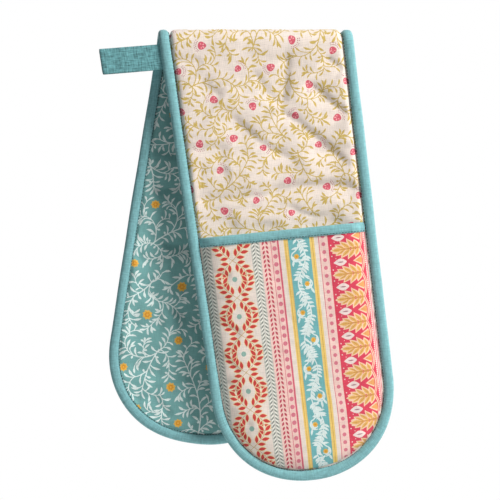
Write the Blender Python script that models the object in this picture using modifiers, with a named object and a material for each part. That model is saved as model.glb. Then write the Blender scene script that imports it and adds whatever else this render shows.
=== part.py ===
"""Double oven glove, folded over a rail.

The glove is laid out flat first, the way it is sewn: X runs across the rail, Y along the fold's travel and
Z up through the layers, with the lining at the bottom. Every layer follows one outline, a long band with two
round ends. The flat layers are then sliced where the fold begins and ends, and draped over the rail, which
runs along X through the origin. The front half hangs at -Y and the back half at +Y.
"""

import math

import bmesh
import bpy
from mathutils import Matrix, Vector

MM = 0.001

# The band, laid flat
GLOVE_WIDTH = 190 * MM
FRONT_REACH = 458 * MM  # from the fold's middle to the front round end, along the band
BACK_REACH = 422 * MM
FOLD_TILT = math.radians(7.5)  # the band crosses the rail at this angle, so its halves splay
BACK_SWING = math.radians(1.4)  # the back half hangs this much further out
POCKET_LENGTH = 253 * MM  # from a round end to the mouth of its pocket

# The fold over the rail
RAIL_RADIUS = 6 * MM
RAIL_CLEARANCE = 0.5 * MM
FOLD_STEPS = 12

# Cloth, wadding and the room between layers
CLOTH = 0.6 * MM
LAYER_GAP = 0.3 * MM
EDGE_WADDING = 3 * MM  # body wadding where the binding squeezes it
BODY_CROWN = 2.2 * MM  # how far the outer cloth swells past its edge
LINING_CROWN = 0.8 * MM
CROWN_RUN = 14 * MM  # the swell is full at this distance from the binding
CROWN_KNEE = 5 * MM
CROWN_KNEE_SHARE = 0.6

# Edge binding: a folded tape that wraps the band's edge
BINDING_WIDTH = 12.5 * MM
BINDING_TAPE = 1.3 * MM
BINDING_BULGE = 0.5 * MM
BINDING_ROUND = 3 * MM

# Soft folds in the open cloth above the front pocket
RIDGE_HEIGHT = 1.8 * MM
RIDGE_LENGTH = 34 * MM
RIDGE_WIDTH = 13 * MM
RIDGE_GRID = 13 * MM
RIDGE_MARGIN = 26 * MM  # the folds die out over this distance from the crowns, their start and the mouth
RIDGE_START = 34 * MM  # from the fold's middle
RIDGE_TURNS = (math.radians(-55), math.radians(4), math.radians(-8))
RIDGE_PLACE_SHARES = ((0.5, 0.44), (-0.1, 0.82), (-0.35, 0.62))  # of the half width and of the open length

# Pockets
HAND_GAP = 6 * MM
POCKET_RIM_GAP = 0.6 * MM
POCKET_EDGE_WADDING = 0.6 * MM
POCKET_WADDING = 3 * MM
POCKET_RUN = 20 * MM  # the pocket stands off fully at this distance from its rim
POCKET_KNEE = 7 * MM
POCKET_KNEE_SHARE = 0.62
MOUTH_BINDING_WIDTH = 10.5 * MM
MOUTH_TAPE = 0.8 * MM

# Sewing thread
THREAD_RADIUS = 0.25 * MM
SEAM_INSET = 1.4 * MM  # from a tape's shoulder to its seam

# Hanging loop: a tape folded in half, its two ends sewn into the front half's left edge
LOOP_WIDTH = 25.5 * MM
LOOP_LENGTH = 60 * MM
LOOP_LEAN_SHARE = 0.05  # it is sewn in a little askew: its rise along its length
LOOP_TAPE = 1 * MM
LOOP_EYE = 6.4 * MM
LOOP_LEG_GAP = 0.3 * MM
LOOP_PLACE = 17.5 * MM  # from the fold's middle, along the band
LOOP_AXIS_GAP = 1.6 * MM  # from the binding's edge to the line that the loop turns about
LOOP_TAIL = 0.9 * MM
LOOP_STEPS = 12

END_STEPS = 24  # sides of each round end
WELD = 0.01 * MM

BAND_RADIUS = GLOVE_WIDTH / 2
BODY_EDGE = 2 * CLOTH + 2 * LAYER_GAP + EDGE_WADDING
BINDING_STAND = LAYER_GAP + BINDING_TAPE + BINDING_BULGE  # a binding's height over the cloth
FOLD_INNER_RADIUS = RAIL_RADIUS + RAIL_CLEARANCE + BINDING_STAND
FOLD_MIDDLE_RADIUS = FOLD_INNER_RADIUS + BODY_EDGE / 2
HALF_BEND = FOLD_MIDDLE_RADIUS * math.pi / 2
BODY_INSET = BINDING_TAPE + LAYER_GAP
CROWN_START = BINDING_WIDTH + LAYER_GAP
CROWN_END = CROWN_START + CROWN_RUN
POCKET_RIM = BINDING_WIDTH + POCKET_RIM_GAP
RIM_HEIGHT = BODY_EDGE + MOUTH_TAPE + 2 * LAYER_GAP  # leaves room for the tape under the mouth
OPEN_LENGTH = FRONT_REACH - POCKET_LENGTH


def clear_scene():
    for obj in list(bpy.data.objects):
        bpy.data.objects.remove(obj)


def cloth_material(name, colour, roughness):
    material = bpy.data.materials.new(name)
    material.use_nodes = True
    shader = material.node_tree.nodes["Principled BSDF"]
    shader.inputs["Base Color"].default_value = (*colour, 1)
    shader.inputs["Roughness"].default_value = roughness
    shader.inputs["Metallic"].default_value = 0
    material.diffuse_color = (*colour, 1)
    return material


def outline_circle(inset):
    """The radius of a round end's corners when the outline is pulled in by inset."""
    return (BAND_RADIUS - inset) / math.cos(math.pi / (2 * END_STEPS))


def end_shift(side):
    """From the glove's middle to the middle of a round end. The front's side is -1 and the back's is 1."""
    return BACK_REACH - BAND_RADIUS if side > 0 else BAND_RADIUS - FRONT_REACH


def outline_ring(mesh, inset, height):
    """One closed loop of edges: the band's outline pulled in by inset, at a height."""
    turn = Matrix.Rotation(math.pi / (2 * END_STEPS), 4, "Z")
    made = bmesh.ops.create_circle(
        mesh, cap_ends=False, radius=outline_circle(inset), segments=2 * END_STEPS, matrix=turn
    )
    for vert in made["verts"]:
        vert.co += Vector((0, end_shift(vert.co.y), height))
    return list({edge for vert in made["verts"] for edge in vert.link_edges})


def next_ring(mesh, ring, scale, height):
    """Extrudes a ring of the outline and brings it to another inset and height."""
    made = bmesh.ops.extrude_edge_only(mesh, edges=ring)["geom"]
    verts = {item for item in made if isinstance(item, bmesh.types.BMVert)}
    for vert in verts:
        shift = end_shift(vert.co.y)
        vert.co = Vector((vert.co.x * scale, (vert.co.y - shift) * scale + shift, height))
    return [item for item in made if isinstance(item, bmesh.types.BMEdge) and verts.issuperset(item.verts)]


def sweep_outline(profile, closed):
    """Carries a profile of (inset, height) points round the band's outline. An open profile is capped."""
    mesh = bmesh.new()
    ring = outline_ring(mesh, *profile[0])
    if not closed:
        bmesh.ops.contextual_create(mesh, geom=ring)
    path = profile + profile[:1] if closed else profile
    for (old_inset, _), (inset, height) in zip(path, path[1:]):
        ring = next_ring(mesh, ring, outline_circle(inset) / outline_circle(old_inset), height)
    if closed:
        bmesh.ops.remove_doubles(mesh, verts=mesh.verts, dist=WELD)
    else:
        bmesh.ops.contextual_create(mesh, geom=ring)
    bmesh.ops.recalc_face_normals(mesh, faces=mesh.faces)
    return mesh


def loft(sections):
    """A solid through sections with equal counts of points, capped at both ends."""
    mesh = bmesh.new()
    rows = [[mesh.verts.new(point) for point in section] for section in sections]
    for row, next_row in zip(rows, rows[1:]):
        for i in range(len(row)):
            mesh.faces.new((row[i - 1], row[i], next_row[i], next_row[i - 1]))
    mesh.faces.new(rows[0])
    mesh.faces.new(rows[-1])
    bmesh.ops.recalc_face_normals(mesh, faces=mesh.faces)
    return mesh


def keep_side(mesh, point, normal):
    """Cuts the solid at a plane, drops what lies past it on the normal's side and closes the cut."""
    geometry = mesh.verts[:] + mesh.edges[:] + mesh.faces[:]
    cut = bmesh.ops.bisect_plane(mesh, geom=geometry, plane_co=point, plane_no=normal, clear_outer=True)
    edges = [item for item in cut["geom_cut"] if isinstance(item, bmesh.types.BMEdge)]
    if edges:
        bmesh.ops.holes_fill(mesh, edges=edges)


def score(mesh, point, normal):
    """Adds a row of edges where a plane crosses the solid, so that it can bend there."""
    geometry = mesh.verts[:] + mesh.edges[:] + mesh.faces[:]
    bmesh.ops.bisect_plane(mesh, geom=geometry, plane_co=point, plane_no=normal)


def drape(point):
    """Takes a point of the flat glove to its place over the rail."""
    radius = FOLD_INNER_RADIUS + point.z
    if abs(point.y) <= HALF_BEND:
        angle = point.y / FOLD_MIDDLE_RADIUS
        return Vector((point.x, radius * math.sin(angle), radius * math.cos(angle)))
    drop = abs(point.y) - HALF_BEND
    swing = math.tan(BACK_SWING) * drop if point.y > 0 else 0
    return Vector((point.x - swing, math.copysign(radius, point.y), -drop))


def band_to_rail(point):
    """Turns a point of the flat layout from the band's own axes to the rail's."""
    return Matrix.Rotation(FOLD_TILT, 4, "Z") @ point


def placed(point):
    """A point in the band's own axes, at its final place over the rail."""
    return drape(band_to_rail(Vector(point)))


def hang(mesh, name, material, origin=(0, 0, 0)):
    """Drapes a flat solid and makes it an object whose origin is a point of the final frame."""
    for vert in mesh.verts:
        vert.co = drape(vert.co) - Vector(origin)
    bmesh.ops.recalc_face_normals(mesh, faces=mesh.faces)
    if mesh.calc_volume(signed=True) < 0:
        bmesh.ops.reverse_faces(mesh, faces=mesh.faces)
    data = bpy.data.meshes.new(name)
    mesh.to_mesh(data)
    mesh.free()
    data.materials.append(material)
    data.shade_smooth()
    data.set_sharp_from_angle(angle=math.radians(35))
    obj = bpy.data.objects.new(name, data)
    obj.location = origin
    glove.objects.link(obj)
    return obj


def turned_to_rail(mesh):
    copy = mesh.copy()
    for vert in copy.verts:
        vert.co = band_to_rail(vert.co)
    return copy


def fading(distance):
    """Goes smoothly from 0 to 1 over the folds' margin."""
    share = min(max(distance / RIDGE_MARGIN, 0), 1)
    return share * share * (3 - 2 * share)


def ridge_height(point):
    """How far the soft folds lift the open cloth at a point in the band's own axes."""
    lift = 0
    for turn, (across_share, along_share) in zip(RIDGE_TURNS, RIDGE_PLACE_SHARES):
        middle = Vector((across_share * BAND_RADIUS, -along_share * OPEN_LENGTH))
        away = Matrix.Rotation(-turn, 2) @ (point.xy - middle)
        lift += RIDGE_HEIGHT * math.exp(-((away.x / RIDGE_LENGTH) ** 2) - (away.y / RIDGE_WIDTH) ** 2)
    sides = fading(BAND_RADIUS - CROWN_END - abs(point.x))
    return lift * sides * fading(-point.y - RIDGE_START) * fading(OPEN_LENGTH + point.y)


def in_open_middle(vert):
    """Whether a corner of a body layer lies on its upper side, between the rail, the mouth and the crowns."""
    inside = abs(vert.co.x) < BAND_RADIUS - CROWN_END + WELD
    return inside and vert.co.z > BODY_EDGE / 2 and -OPEN_LENGTH - WELD < vert.co.y < WELD - RIDGE_START


def with_ridges(mesh):
    """A copy of a body layer whose upper side carries the soft folds, on a net of triangles."""
    copy = mesh.copy()
    score(copy, (0, -RIDGE_START, 0), (0, 1, 0))
    score(copy, (0, -OPEN_LENGTH, 0), (0, 1, 0))
    lines = int((OPEN_LENGTH + BAND_RADIUS) / RIDGE_GRID)
    for turn in range(3):
        normal = Matrix.Rotation(math.pi * turn / 3, 3, "Z") @ Vector((1, 0, 0))
        for line in range(-lines, lines + 1):
            faces = [face for face in copy.faces if all(in_open_middle(vert) for vert in face.verts)]
            geometry = {part for face in faces for part in (*face.verts, *face.edges, face)}
            bmesh.ops.bisect_plane(
                copy, geom=list(geometry), dist=WELD, plane_co=normal * line * RIDGE_GRID, plane_no=normal
            )
    for vert in copy.verts:
        if in_open_middle(vert):
            vert.co.z += ridge_height(vert.co)
    return copy


def front_part(mesh):
    part = turned_to_rail(mesh)
    keep_side(part, (0, -HALF_BEND - LAYER_GAP / 2, 0), (0, 1, 0))
    return part


def back_part(mesh):
    part = turned_to_rail(mesh)
    keep_side(part, (0, HALF_BEND + LAYER_GAP / 2, 0), (0, -1, 0))
    return part


def fold_part(mesh, side=0):
    """The stretch over the rail. A side of -1 or 1 keeps only the left or right edge's piece."""
    part = turned_to_rail(mesh)
    end = HALF_BEND - LAYER_GAP / 2
    keep_side(part, (0, end, 0), (0, 1, 0))
    keep_side(part, (0, -end, 0), (0, -1, 0))
    if side:
        keep_side(part, (0, 0, 0), (-side, 0, 0))
    for step in range(1, FOLD_STEPS):
        score(part, (0, end * (2 * step / FOLD_STEPS - 1), 0), (0, 1, 0))
    return part


def crowned(edge_height, swell):
    """Points of a body layer's surface, from its edge in to the flat middle."""
    return [
        (BODY_INSET, edge_height),
        (CROWN_START, edge_height),
        (CROWN_START + CROWN_KNEE, edge_height + CROWN_KNEE_SHARE * swell),
        (CROWN_END, edge_height + swell),
    ]


def body_layer(low, low_swell, high, high_swell):
    """A flat layer of the body between two crowned surfaces."""
    return sweep_outline(crowned(low, low_swell)[::-1] + crowned(high, high_swell), closed=False)


def body_layers():
    """The lining, wadding and outer cloth, from the rail outwards."""
    wadding_low = CLOTH + LAYER_GAP
    wadding_high = wadding_low + EDGE_WADDING
    cloth_low = wadding_high + LAYER_GAP
    return (
        ("lining", body_layer(0, -LINING_CROWN, CLOTH, -LINING_CROWN)),
        ("wadding", body_layer(wadding_low, -LINING_CROWN, wadding_high, BODY_CROWN)),
        ("outer_cloth", body_layer(cloth_low, BODY_CROWN, cloth_low + CLOTH, BODY_CROWN)),
    )


def edge_binding():
    """The folded tape round the whole band: a U with its open side inwards and a rounded back."""
    low = -LAYER_GAP - BINDING_TAPE
    high = BODY_EDGE + LAYER_GAP + BINDING_TAPE
    quarter = (high - low) / 4
    shoulder = BINDING_WIDTH - BINDING_TAPE
    return sweep_outline(
        [
            (BINDING_WIDTH, BODY_EDGE + LAYER_GAP),
            (BINDING_WIDTH, high - BINDING_TAPE / 2),
            (shoulder, high),
            (BINDING_WIDTH / 2, high + BINDING_BULGE),
            (BINDING_ROUND, high),
            (BINDING_ROUND / 4, high - quarter),
            (0, (high + low) / 2),
            (BINDING_ROUND / 4, low + quarter),
            (BINDING_ROUND, low),
            (BINDING_WIDTH / 2, low - BINDING_BULGE),
            (shoulder, low),
            (BINDING_WIDTH, low + BINDING_TAPE / 2),
            (BINDING_WIDTH, -LAYER_GAP),
            (BINDING_TAPE, -LAYER_GAP),
            (BINDING_TAPE, BODY_EDGE + LAYER_GAP),
        ],
        closed=True,
    )


def edge_seam(height):
    """One thread of the seam that holds the binding, on one face of the band."""
    inset = BINDING_WIDTH - BINDING_TAPE - SEAM_INSET
    return sweep_outline(
        [
            (inset - THREAD_RADIUS, height),
            (inset, height - THREAD_RADIUS),
            (inset + THREAD_RADIUS, height),
            (inset, height + THREAD_RADIUS),
        ],
        closed=True,
    )


class PocketSurface:
    """One surface of a pocket: its height at the rim and in its flat middle."""

    def __init__(self, rim, middle):
        self.rim = rim
        self.middle = middle

    def raised(self, amount):
        return PocketSurface(self.rim + amount, self.middle + amount)

    def points(self):
        knee = self.rim + POCKET_KNEE_SHARE * (self.middle - self.rim)
        return [
            (POCKET_RIM, self.rim),
            (POCKET_RIM + POCKET_KNEE, knee),
            (POCKET_RIM + POCKET_RUN, self.middle),
        ]


def pocket_surfaces():
    """The lower and upper surface of the pocket's lining, wadding and cloth."""
    lining = PocketSurface(RIM_HEIGHT, BODY_EDGE + BODY_CROWN + HAND_GAP)
    wadding = lining.raised(CLOTH + LAYER_GAP)
    wadding_top = PocketSurface(wadding.rim + POCKET_EDGE_WADDING, wadding.middle + POCKET_WADDING)
    cloth = wadding_top.raised(LAYER_GAP)
    return {
        "lining": (lining, lining.raised(CLOTH)),
        "wadding": (wadding, wadding_top),
        "cloth": (cloth, cloth.raised(CLOTH)),
    }


def mouth_place(side):
    """How far along the band a pocket's mouth lies. The front's side is -1 and the back's is 1."""
    reach = FRONT_REACH if side < 0 else BACK_REACH
    return side * (reach - POCKET_LENGTH)


def pocket_layer(surfaces, side):
    low, high = surfaces
    layer = sweep_outline(low.points()[::-1] + high.points(), closed=False)
    edge = mouth_place(side) + side * (MOUTH_TAPE + LAYER_GAP)
    keep_side(layer, (0, edge, 0), (0, -side, 0))
    return turned_to_rail(layer)


def across_mouth(surface):
    """The places across the mouth where a surface bends, from left to right, with its heights."""
    half = [(BAND_RADIUS - inset, height) for inset, height in surface.points()]
    return [(-place, height) for place, height in half] + half[::-1]


def mouth_binding(side):
    """The tape folded over the pocket's mouth, which follows the pocket's arch."""
    surfaces = pocket_surfaces()
    under = across_mouth(surfaces["lining"][0].raised(-LAYER_GAP))
    over = across_mouth(surfaces["cloth"][1].raised(LAYER_GAP))
    mouth = mouth_place(side)
    inner = mouth + side * MOUTH_TAPE
    end = mouth + side * MOUTH_BINDING_WIDTH
    sections = []
    for (place, low), (_, high) in zip(under, over):
        floor = low - MOUTH_TAPE
        sections.append(
            [
                (place, mouth, floor),
                (place, mouth, high + MOUTH_TAPE),
                (place, end, high + MOUTH_TAPE),
                (place, end, high),
                (place, inner, high),
                (place, inner, low),
                (place, end, low),
                (place, end, floor),
            ]
        )
    return turned_to_rail(loft(sections))


def mouth_seam(side):
    """The thread that holds the mouth's tape, on the pocket's outer face."""
    top = pocket_surfaces()["cloth"][1].raised(2 * LAYER_GAP + MOUTH_TAPE + THREAD_RADIUS)
    seam = mouth_place(side) + side * (MOUTH_BINDING_WIDTH - SEAM_INSET)
    sections = []
    for place, height in across_mouth(top):
        sections.append(
            [
                (place, seam - THREAD_RADIUS, height),
                (place, seam, height - THREAD_RADIUS),
                (place, seam + THREAD_RADIUS, height),
                (place, seam, height + THREAD_RADIUS),
            ]
        )
    return turned_to_rail(loft(sections))


def loop_line():
    """The middle of the loop's tape, seen along the band's edge: (distance out, distance above)."""
    leg = (LOOP_LEG_GAP + LOOP_TAPE) / 2
    belly = (LOOP_EYE + LOOP_TAPE) / 2
    belly_at = LOOP_LENGTH - LOOP_TAPE / 2 - belly
    line = []
    for step in range(LOOP_STEPS + 1):
        share = step / LOOP_STEPS
        ease = share * share * (3 - 2 * share)
        line.append((-LOOP_TAIL + share * (belly_at + LOOP_TAIL), leg + ease * (belly - leg)))
    half_turn = [math.pi / 2 - math.pi * step / LOOP_STEPS for step in range(1, LOOP_STEPS // 2 + 1)]
    line += [(belly_at + belly * math.cos(angle), belly * math.sin(angle)) for angle in half_turn]
    mirrored = [(out, -above) for out, above in line[-2::-1]]
    return line + mirrored


def hanging_loop():
    """A ribbon carried along the loop's line, given its thickness with Solidify."""
    mesh = bmesh.new()
    middle = BODY_EDGE / 2
    root = -BAND_RADIUS - LOOP_AXIS_GAP
    low, high = -LOOP_PLACE - LOOP_WIDTH / 2, -LOOP_PLACE + LOOP_WIDTH / 2
    line = [(root - out, low + LOOP_LEAN_SHARE * out, middle + above) for out, above in loop_line()]
    verts = [mesh.verts.new(point) for point in line]
    edges = [mesh.edges.new(pair) for pair in zip(verts, verts[1:])]
    ribbon = bmesh.ops.extrude_edge_only(mesh, edges=edges)
    moved = [item for item in ribbon["geom"] if isinstance(item, bmesh.types.BMVert)]
    bmesh.ops.translate(mesh, verts=moved, vec=(0, high - low, 0))
    return turned_to_rail(mesh)


glove = bpy.data.collections.new("double_oven_glove")


def build():
    clear_scene()
    bpy.context.scene.collection.children.link(glove)

    vine_cotton = cloth_material("cream_vine_cotton", (0.78, 0.66, 0.50), 0.85)
    teal_cotton = cloth_material("teal_vine_cotton", (0.12, 0.33, 0.34), 0.85)
    striped_cotton = cloth_material("striped_border_cotton", (0.72, 0.42, 0.36), 0.85)
    tape_cotton = cloth_material("teal_tape_cotton", (0.20, 0.48, 0.50), 0.8)
    wadding_felt = cloth_material("white_wadding", (0.82, 0.81, 0.78), 0.95)
    thread_cotton = cloth_material("teal_thread", (0.06, 0.20, 0.22), 0.6)
    body_cotton = {"lining": teal_cotton, "wadding": wadding_felt, "outer_cloth": vine_cotton}
    pocket_cotton = {"lining": vine_cotton, "wadding": wadding_felt, "cloth": striped_cotton}

    for layer, mesh in body_layers():
        front = mesh if layer == "lining" else with_ridges(mesh)
        hang(front_part(front), f"front_{layer}", body_cotton[layer])
        hang(fold_part(mesh), f"fold_{layer}", body_cotton[layer])
        hang(back_part(mesh), f"back_{layer}", body_cotton[layer])
        mesh.free()

    binding = edge_binding()
    hang(front_part(binding), "front_edge_binding", tape_cotton)
    hang(fold_part(binding, -1), "fold_left_binding", tape_cotton)
    hang(fold_part(binding, 1), "fold_right_binding", tape_cotton)
    hang(back_part(binding), "back_edge_binding", tape_cotton)
    binding.free()

    clear = BINDING_STAND + LAYER_GAP + THREAD_RADIUS
    for face, height in (("outer", BODY_EDGE + clear), ("inner", -clear)):
        seam = edge_seam(height)
        hang(front_part(seam), f"front_{face}_seam", thread_cotton)
        hang(fold_part(seam, -1), f"fold_left_{face}_seam", thread_cotton)
        hang(fold_part(seam, 1), f"fold_right_{face}_seam", thread_cotton)
        hang(back_part(seam), f"back_{face}_seam", thread_cotton)
        seam.free()

    for half, side, reach in (("front", -1, FRONT_REACH), ("back", 1, BACK_REACH)):
        hinge = placed((0, side * (reach - POCKET_RIM), RIM_HEIGHT))
        for layer, surfaces in pocket_surfaces().items():
            hang(pocket_layer(surfaces, side), f"{half}_pocket_{layer}", pocket_cotton[layer], hinge)
        hang(mouth_binding(side), f"{half}_mouth_binding", tape_cotton, hinge)
        hang(mouth_seam(side), f"{half}_mouth_seam", thread_cotton, hinge)
        print(f"{half} pocket turns at", [round(value, 6) for value in hinge])

    loop_axis = placed((-BAND_RADIUS - LOOP_AXIS_GAP, -LOOP_PLACE, BODY_EDGE / 2))
    loop = hang(hanging_loop(), "hanging_loop", tape_cotton, loop_axis)
    thicken = loop.modifiers.new("tape thickness", "SOLIDIFY")
    thicken.thickness = LOOP_TAPE
    thicken.offset = 0
    thicken.use_even_offset = True
    print("loop turns at", [round(value, 6) for value in loop_axis])


build()
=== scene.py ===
# A double oven glove that hangs folded over a rail: printed cotton, padding and teal bias tape.
import math
import random

import bpy
import numpy as np
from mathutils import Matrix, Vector
from mathutils.geometry import delaunay_2d_cdt


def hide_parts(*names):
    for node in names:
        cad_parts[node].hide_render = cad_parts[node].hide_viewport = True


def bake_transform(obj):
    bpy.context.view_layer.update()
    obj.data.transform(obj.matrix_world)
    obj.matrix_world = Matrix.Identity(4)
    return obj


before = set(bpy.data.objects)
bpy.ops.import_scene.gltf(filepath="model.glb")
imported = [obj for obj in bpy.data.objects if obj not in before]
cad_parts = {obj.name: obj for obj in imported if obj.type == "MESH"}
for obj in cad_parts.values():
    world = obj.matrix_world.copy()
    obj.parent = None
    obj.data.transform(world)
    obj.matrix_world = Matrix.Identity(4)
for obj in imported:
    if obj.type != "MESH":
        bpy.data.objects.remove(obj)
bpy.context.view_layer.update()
print("frame loaded")

mm = 0.001
fullTurn = 2 * math.pi

# The band is laid flat first: x across it, y along it (front negative), z up through its layers.
band = {
    "halfWidth": 95 * mm,
    "frontReach": 458 * mm,
    "backReach": 422 * mm,
    "foldTilt": math.radians(7.5),
    "foldInner": 8.6 * mm,  # from the rail's line to the lining
    "edgeThickness": 4.8 * mm,
    "pocketLength": 253 * mm,
    "mouthLean": -0.031,  # the mouths are sewn a little askew
    # each half as it was really cut and sewn: wide at the fold, its round end a little squared
    "front": {"wide": 1.018, "taper": 0.151, "square": 2.15, "deep": 0.985, "skew": 0.0},
    "back": {"wide": 1.018, "taper": 0.0, "square": 2.19, "deep": 1.008, "skew": 4.4 * mm, "swing": 0.031},
    "skewFrom": 200 * mm,  # from here on a half drifts aside
    "skewOver": 250 * mm,
    "photoFold": (254.8, 28.0),  # where the photograph shows the middle of the fold, in its pixels
    "photoPixel": 1 * mm,
}
midRadius = band["foldInner"] + band["edgeThickness"] / 2
halfBend = midRadius * math.pi / 2
frontCentre = band["halfWidth"] - band["frontReach"]
backCentre = band["backReach"] - band["halfWidth"]
tiltCos, tiltSin = math.cos(band["foldTilt"]), math.sin(band["foldTilt"])
ways = {"front": -1, "back": 1}  # which way each half runs along y
mouths = {
    "front": band["pocketLength"] - band["frontReach"],
    "back": band["backReach"] - band["pocketLength"],
}


def cutShape(x, y):
    # the plain band with half-circle ends, to the shape that each half has
    newX, newY = x * 1.0, y * 1.0
    for half, sign, centre in (("front", -1, frontCentre), ("back", 1, backCentre)):
        shape, mine = band[half], y * sign > 0
        u, v = np.abs(x) / band["halfWidth"], np.maximum(y * sign - abs(centre), 0) / band["halfWidth"]
        power = shape["square"]
        swell = np.hypot(u, v) / np.maximum((u ** power + v ** power) ** (1 / power), 1e-9)
        swell = np.where(v > 0, swell, 1.0)
        wide = shape["wide"] - shape["taper"] * np.abs(y)
        late = np.maximum(np.abs(y) - band["skewFrom"], 0) / band["skewOver"]
        newX = np.where(mine, x * swell * wide + shape["skew"] * late ** 2, newX)
        far = np.minimum(y * sign, abs(centre)) + band["halfWidth"] * v * swell * shape["deep"]
        newY = np.where(mine, sign * far, newY)
    return newX, newY


def hangUp(points):
    # flat band to the glove hanging over the rail
    x, y, z = np.asarray(points, float).reshape(-1, 3).T
    x, y = cutShape(x, y)
    across = x * tiltCos - y * tiltSin
    along = x * tiltSin + y * tiltCos
    radius = band["foldInner"] + z
    angle = np.clip(along / midRadius, -math.pi / 2, math.pi / 2)
    drop = np.maximum(np.abs(along) - halfBend, 0)
    swing = band["back"]["swing"] * drop * (along > 0)
    return np.stack([across - swing, radius * np.sin(angle), radius * np.cos(angle) - drop], 1)


def spot(x, y, z=0.0):
    # where one point of the flat band hangs
    return Vector(hangUp([(x, y, z)])[0])


def photoSpot(px, py):
    # a place on the front half, from the photograph's pixels
    foldX, foldY = band["photoFold"]
    across = (px - foldX) * band["photoPixel"]
    along = (foldY - py) * band["photoPixel"] + band["foldInner"] + band["edgeThickness"] - halfBend
    return across * tiltCos + along * tiltSin, along * tiltCos - across * tiltSin


def insetOf(x, y):
    # how far inside the band's outline a point lies
    return band["halfWidth"] - np.hypot(x, y - np.clip(y, frontCentre, backCentre))


def smooth(t):
    t = np.clip(t, 0, 1)
    return t * t * (3 - 2 * t)


def waves(x, y, size, seed, count=8):
    # a soft uneven relief about 1 high: plain waves of about one size, each with its own heading
    rng = random.Random(seed)
    total = 0 * x
    for _ in range(count):
        heading, length = rng.uniform(0, fullTurn), size * rng.uniform(0.7, 1.6)
        phase = rng.uniform(0, fullTurn)
        total = total + np.sin(fullTurn * (x * math.cos(heading) + y * math.sin(heading)) / length + phase)
    return total / math.sqrt(count)


def waveAt(x, y, size, seed, count=5):
    return float(waves(np.array([x]), np.array([y]), size, seed, count)[0])


# Materials

def linear(hexColour):
    channels = [int(hexColour[i:i + 2], 16) / 255 for i in (1, 3, 5)]
    return (*[c / 12.92 if c <= 0.04045 else ((c + 0.055) / 1.055) ** 2.4 for c in channels], 1)


def addNode(tree, kind, settings=None, links=None):
    node = tree.nodes.new(kind)
    for key, value in (settings or {}).items():
        if isinstance(key, str) and hasattr(node, key):
            setattr(node, key, value)
        else:
            node.inputs[key].default_value = value
    for socket, source in (links or {}).items():
        tree.links.new(source, node.inputs[socket])
    return node


weave = {
    "thread": 0.9 * mm,  # about twice a real printed cotton's spacing, so that it can show
    "tapeThread": 0.7 * mm,  # a tape's threads lie closer, and are drawn coarser for the same reason
    "wobble": 0.6,  # how unevenly the threads run
    "height": 0.10 * mm,
    "bump": 0.6,
    "slub": 5 * mm,  # length of the thick places in a yarn
    "slubNoise": 0.55,
    "slubHeight": 0.7,  # against a thread's height
    "roughness": 0.86,
    "specular": 0.25,
    "fuzz": 0.5,  # roughness of the sheen
}


def cottonMaterial(name, hexColour, thread, shade, slubShade=0.10, sheen=0.15, bump=1.0):
    # plain-woven cotton: a matt checker of threads, with thick and thin yarn showing as faint streaks
    material = bpy.data.materials.new(name)
    material.use_nodes = True
    tree = material.node_tree
    shader = tree.nodes["Principled BSDF"]
    flat = addNode(tree, "ShaderNodeUVMap", {"uv_map": "flat"}).outputs["UV"]
    # warp and weft, in bands of two threads because a plain weave repeats at every second one
    yarns = [
        addNode(
            tree, "ShaderNodeTexWave",
            {
                "bands_direction": direction, "Scale": 0.5 / thread / math.pi,
                "Distortion": weave["wobble"], "Detail": 1.0, "Detail Scale": weave["wobble"],
            },
            {"Vector": flat},
        )
        for direction in ("X", "Y")
    ]
    threads = addNode(
        tree, "ShaderNodeMath", {"operation": "MAXIMUM"},
        {0: yarns[0].outputs["Fac"], 1: yarns[1].outputs["Fac"]},
    )
    # slubs, as noise that is drawn out along each of the two yarns
    streaks = []
    for squeeze in ((1 / thread, 1 / weave["slub"], 1), (1 / weave["slub"], 1 / thread, 1)):
        stretched = addNode(tree, "ShaderNodeVectorMath", {"operation": "MULTIPLY", 1: squeeze}, {0: flat})
        streaks.append(addNode(
            tree, "ShaderNodeTexNoise", {"Scale": weave["slubNoise"], "Detail": 2.0},
            {"Vector": stretched.outputs[0]},
        ))
    slubs = addNode(
        tree, "ShaderNodeMath", {"operation": "ADD"},
        {0: streaks[0].outputs["Fac"], 1: streaks[1].outputs["Fac"]},
    )
    slubTone = addNode(
        tree, "ShaderNodeMapRange",
        {"From Min": 0.7, "From Max": 1.3, "To Min": 1 - slubShade, "To Max": 1 + slubShade},
        {"Value": slubs.outputs[0]},
    )
    threadTone = addNode(
        tree, "ShaderNodeMapRange", {"To Min": 1 - shade, "To Max": 1 + shade * 0.4},
        {"Value": threads.outputs[0]},
    )
    tone = addNode(
        tree, "ShaderNodeMath", {"operation": "MULTIPLY"},
        {0: slubTone.outputs[0], 1: threadTone.outputs[0]},
    )
    colour = addNode(
        tree, "ShaderNodeVectorMath", {"operation": "SCALE", 0: linear(hexColour)[:3]},
        {"Scale": tone.outputs[0]},
    )
    relief = addNode(
        tree, "ShaderNodeMath", {"operation": "MULTIPLY_ADD", 1: weave["slubHeight"]},
        {0: slubs.outputs[0], 2: threads.outputs[0]},
    )
    dent = addNode(
        tree, "ShaderNodeBump", {"Strength": weave["bump"] * bump, "Distance": weave["height"]},
        {"Height": relief.outputs[0]},
    )
    tree.links.new(colour.outputs[0], shader.inputs["Base Color"])
    tree.links.new(dent.outputs["Normal"], shader.inputs["Normal"])
    shader.inputs["Roughness"].default_value = weave["roughness"]
    shader.inputs["Sheen Weight"].default_value = sheen
    shader.inputs["Sheen Roughness"].default_value = weave["fuzz"]
    shader.inputs["Specular IOR Level"].default_value = weave["specular"]
    material.diffuse_color = linear(hexColour)
    return material


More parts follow.
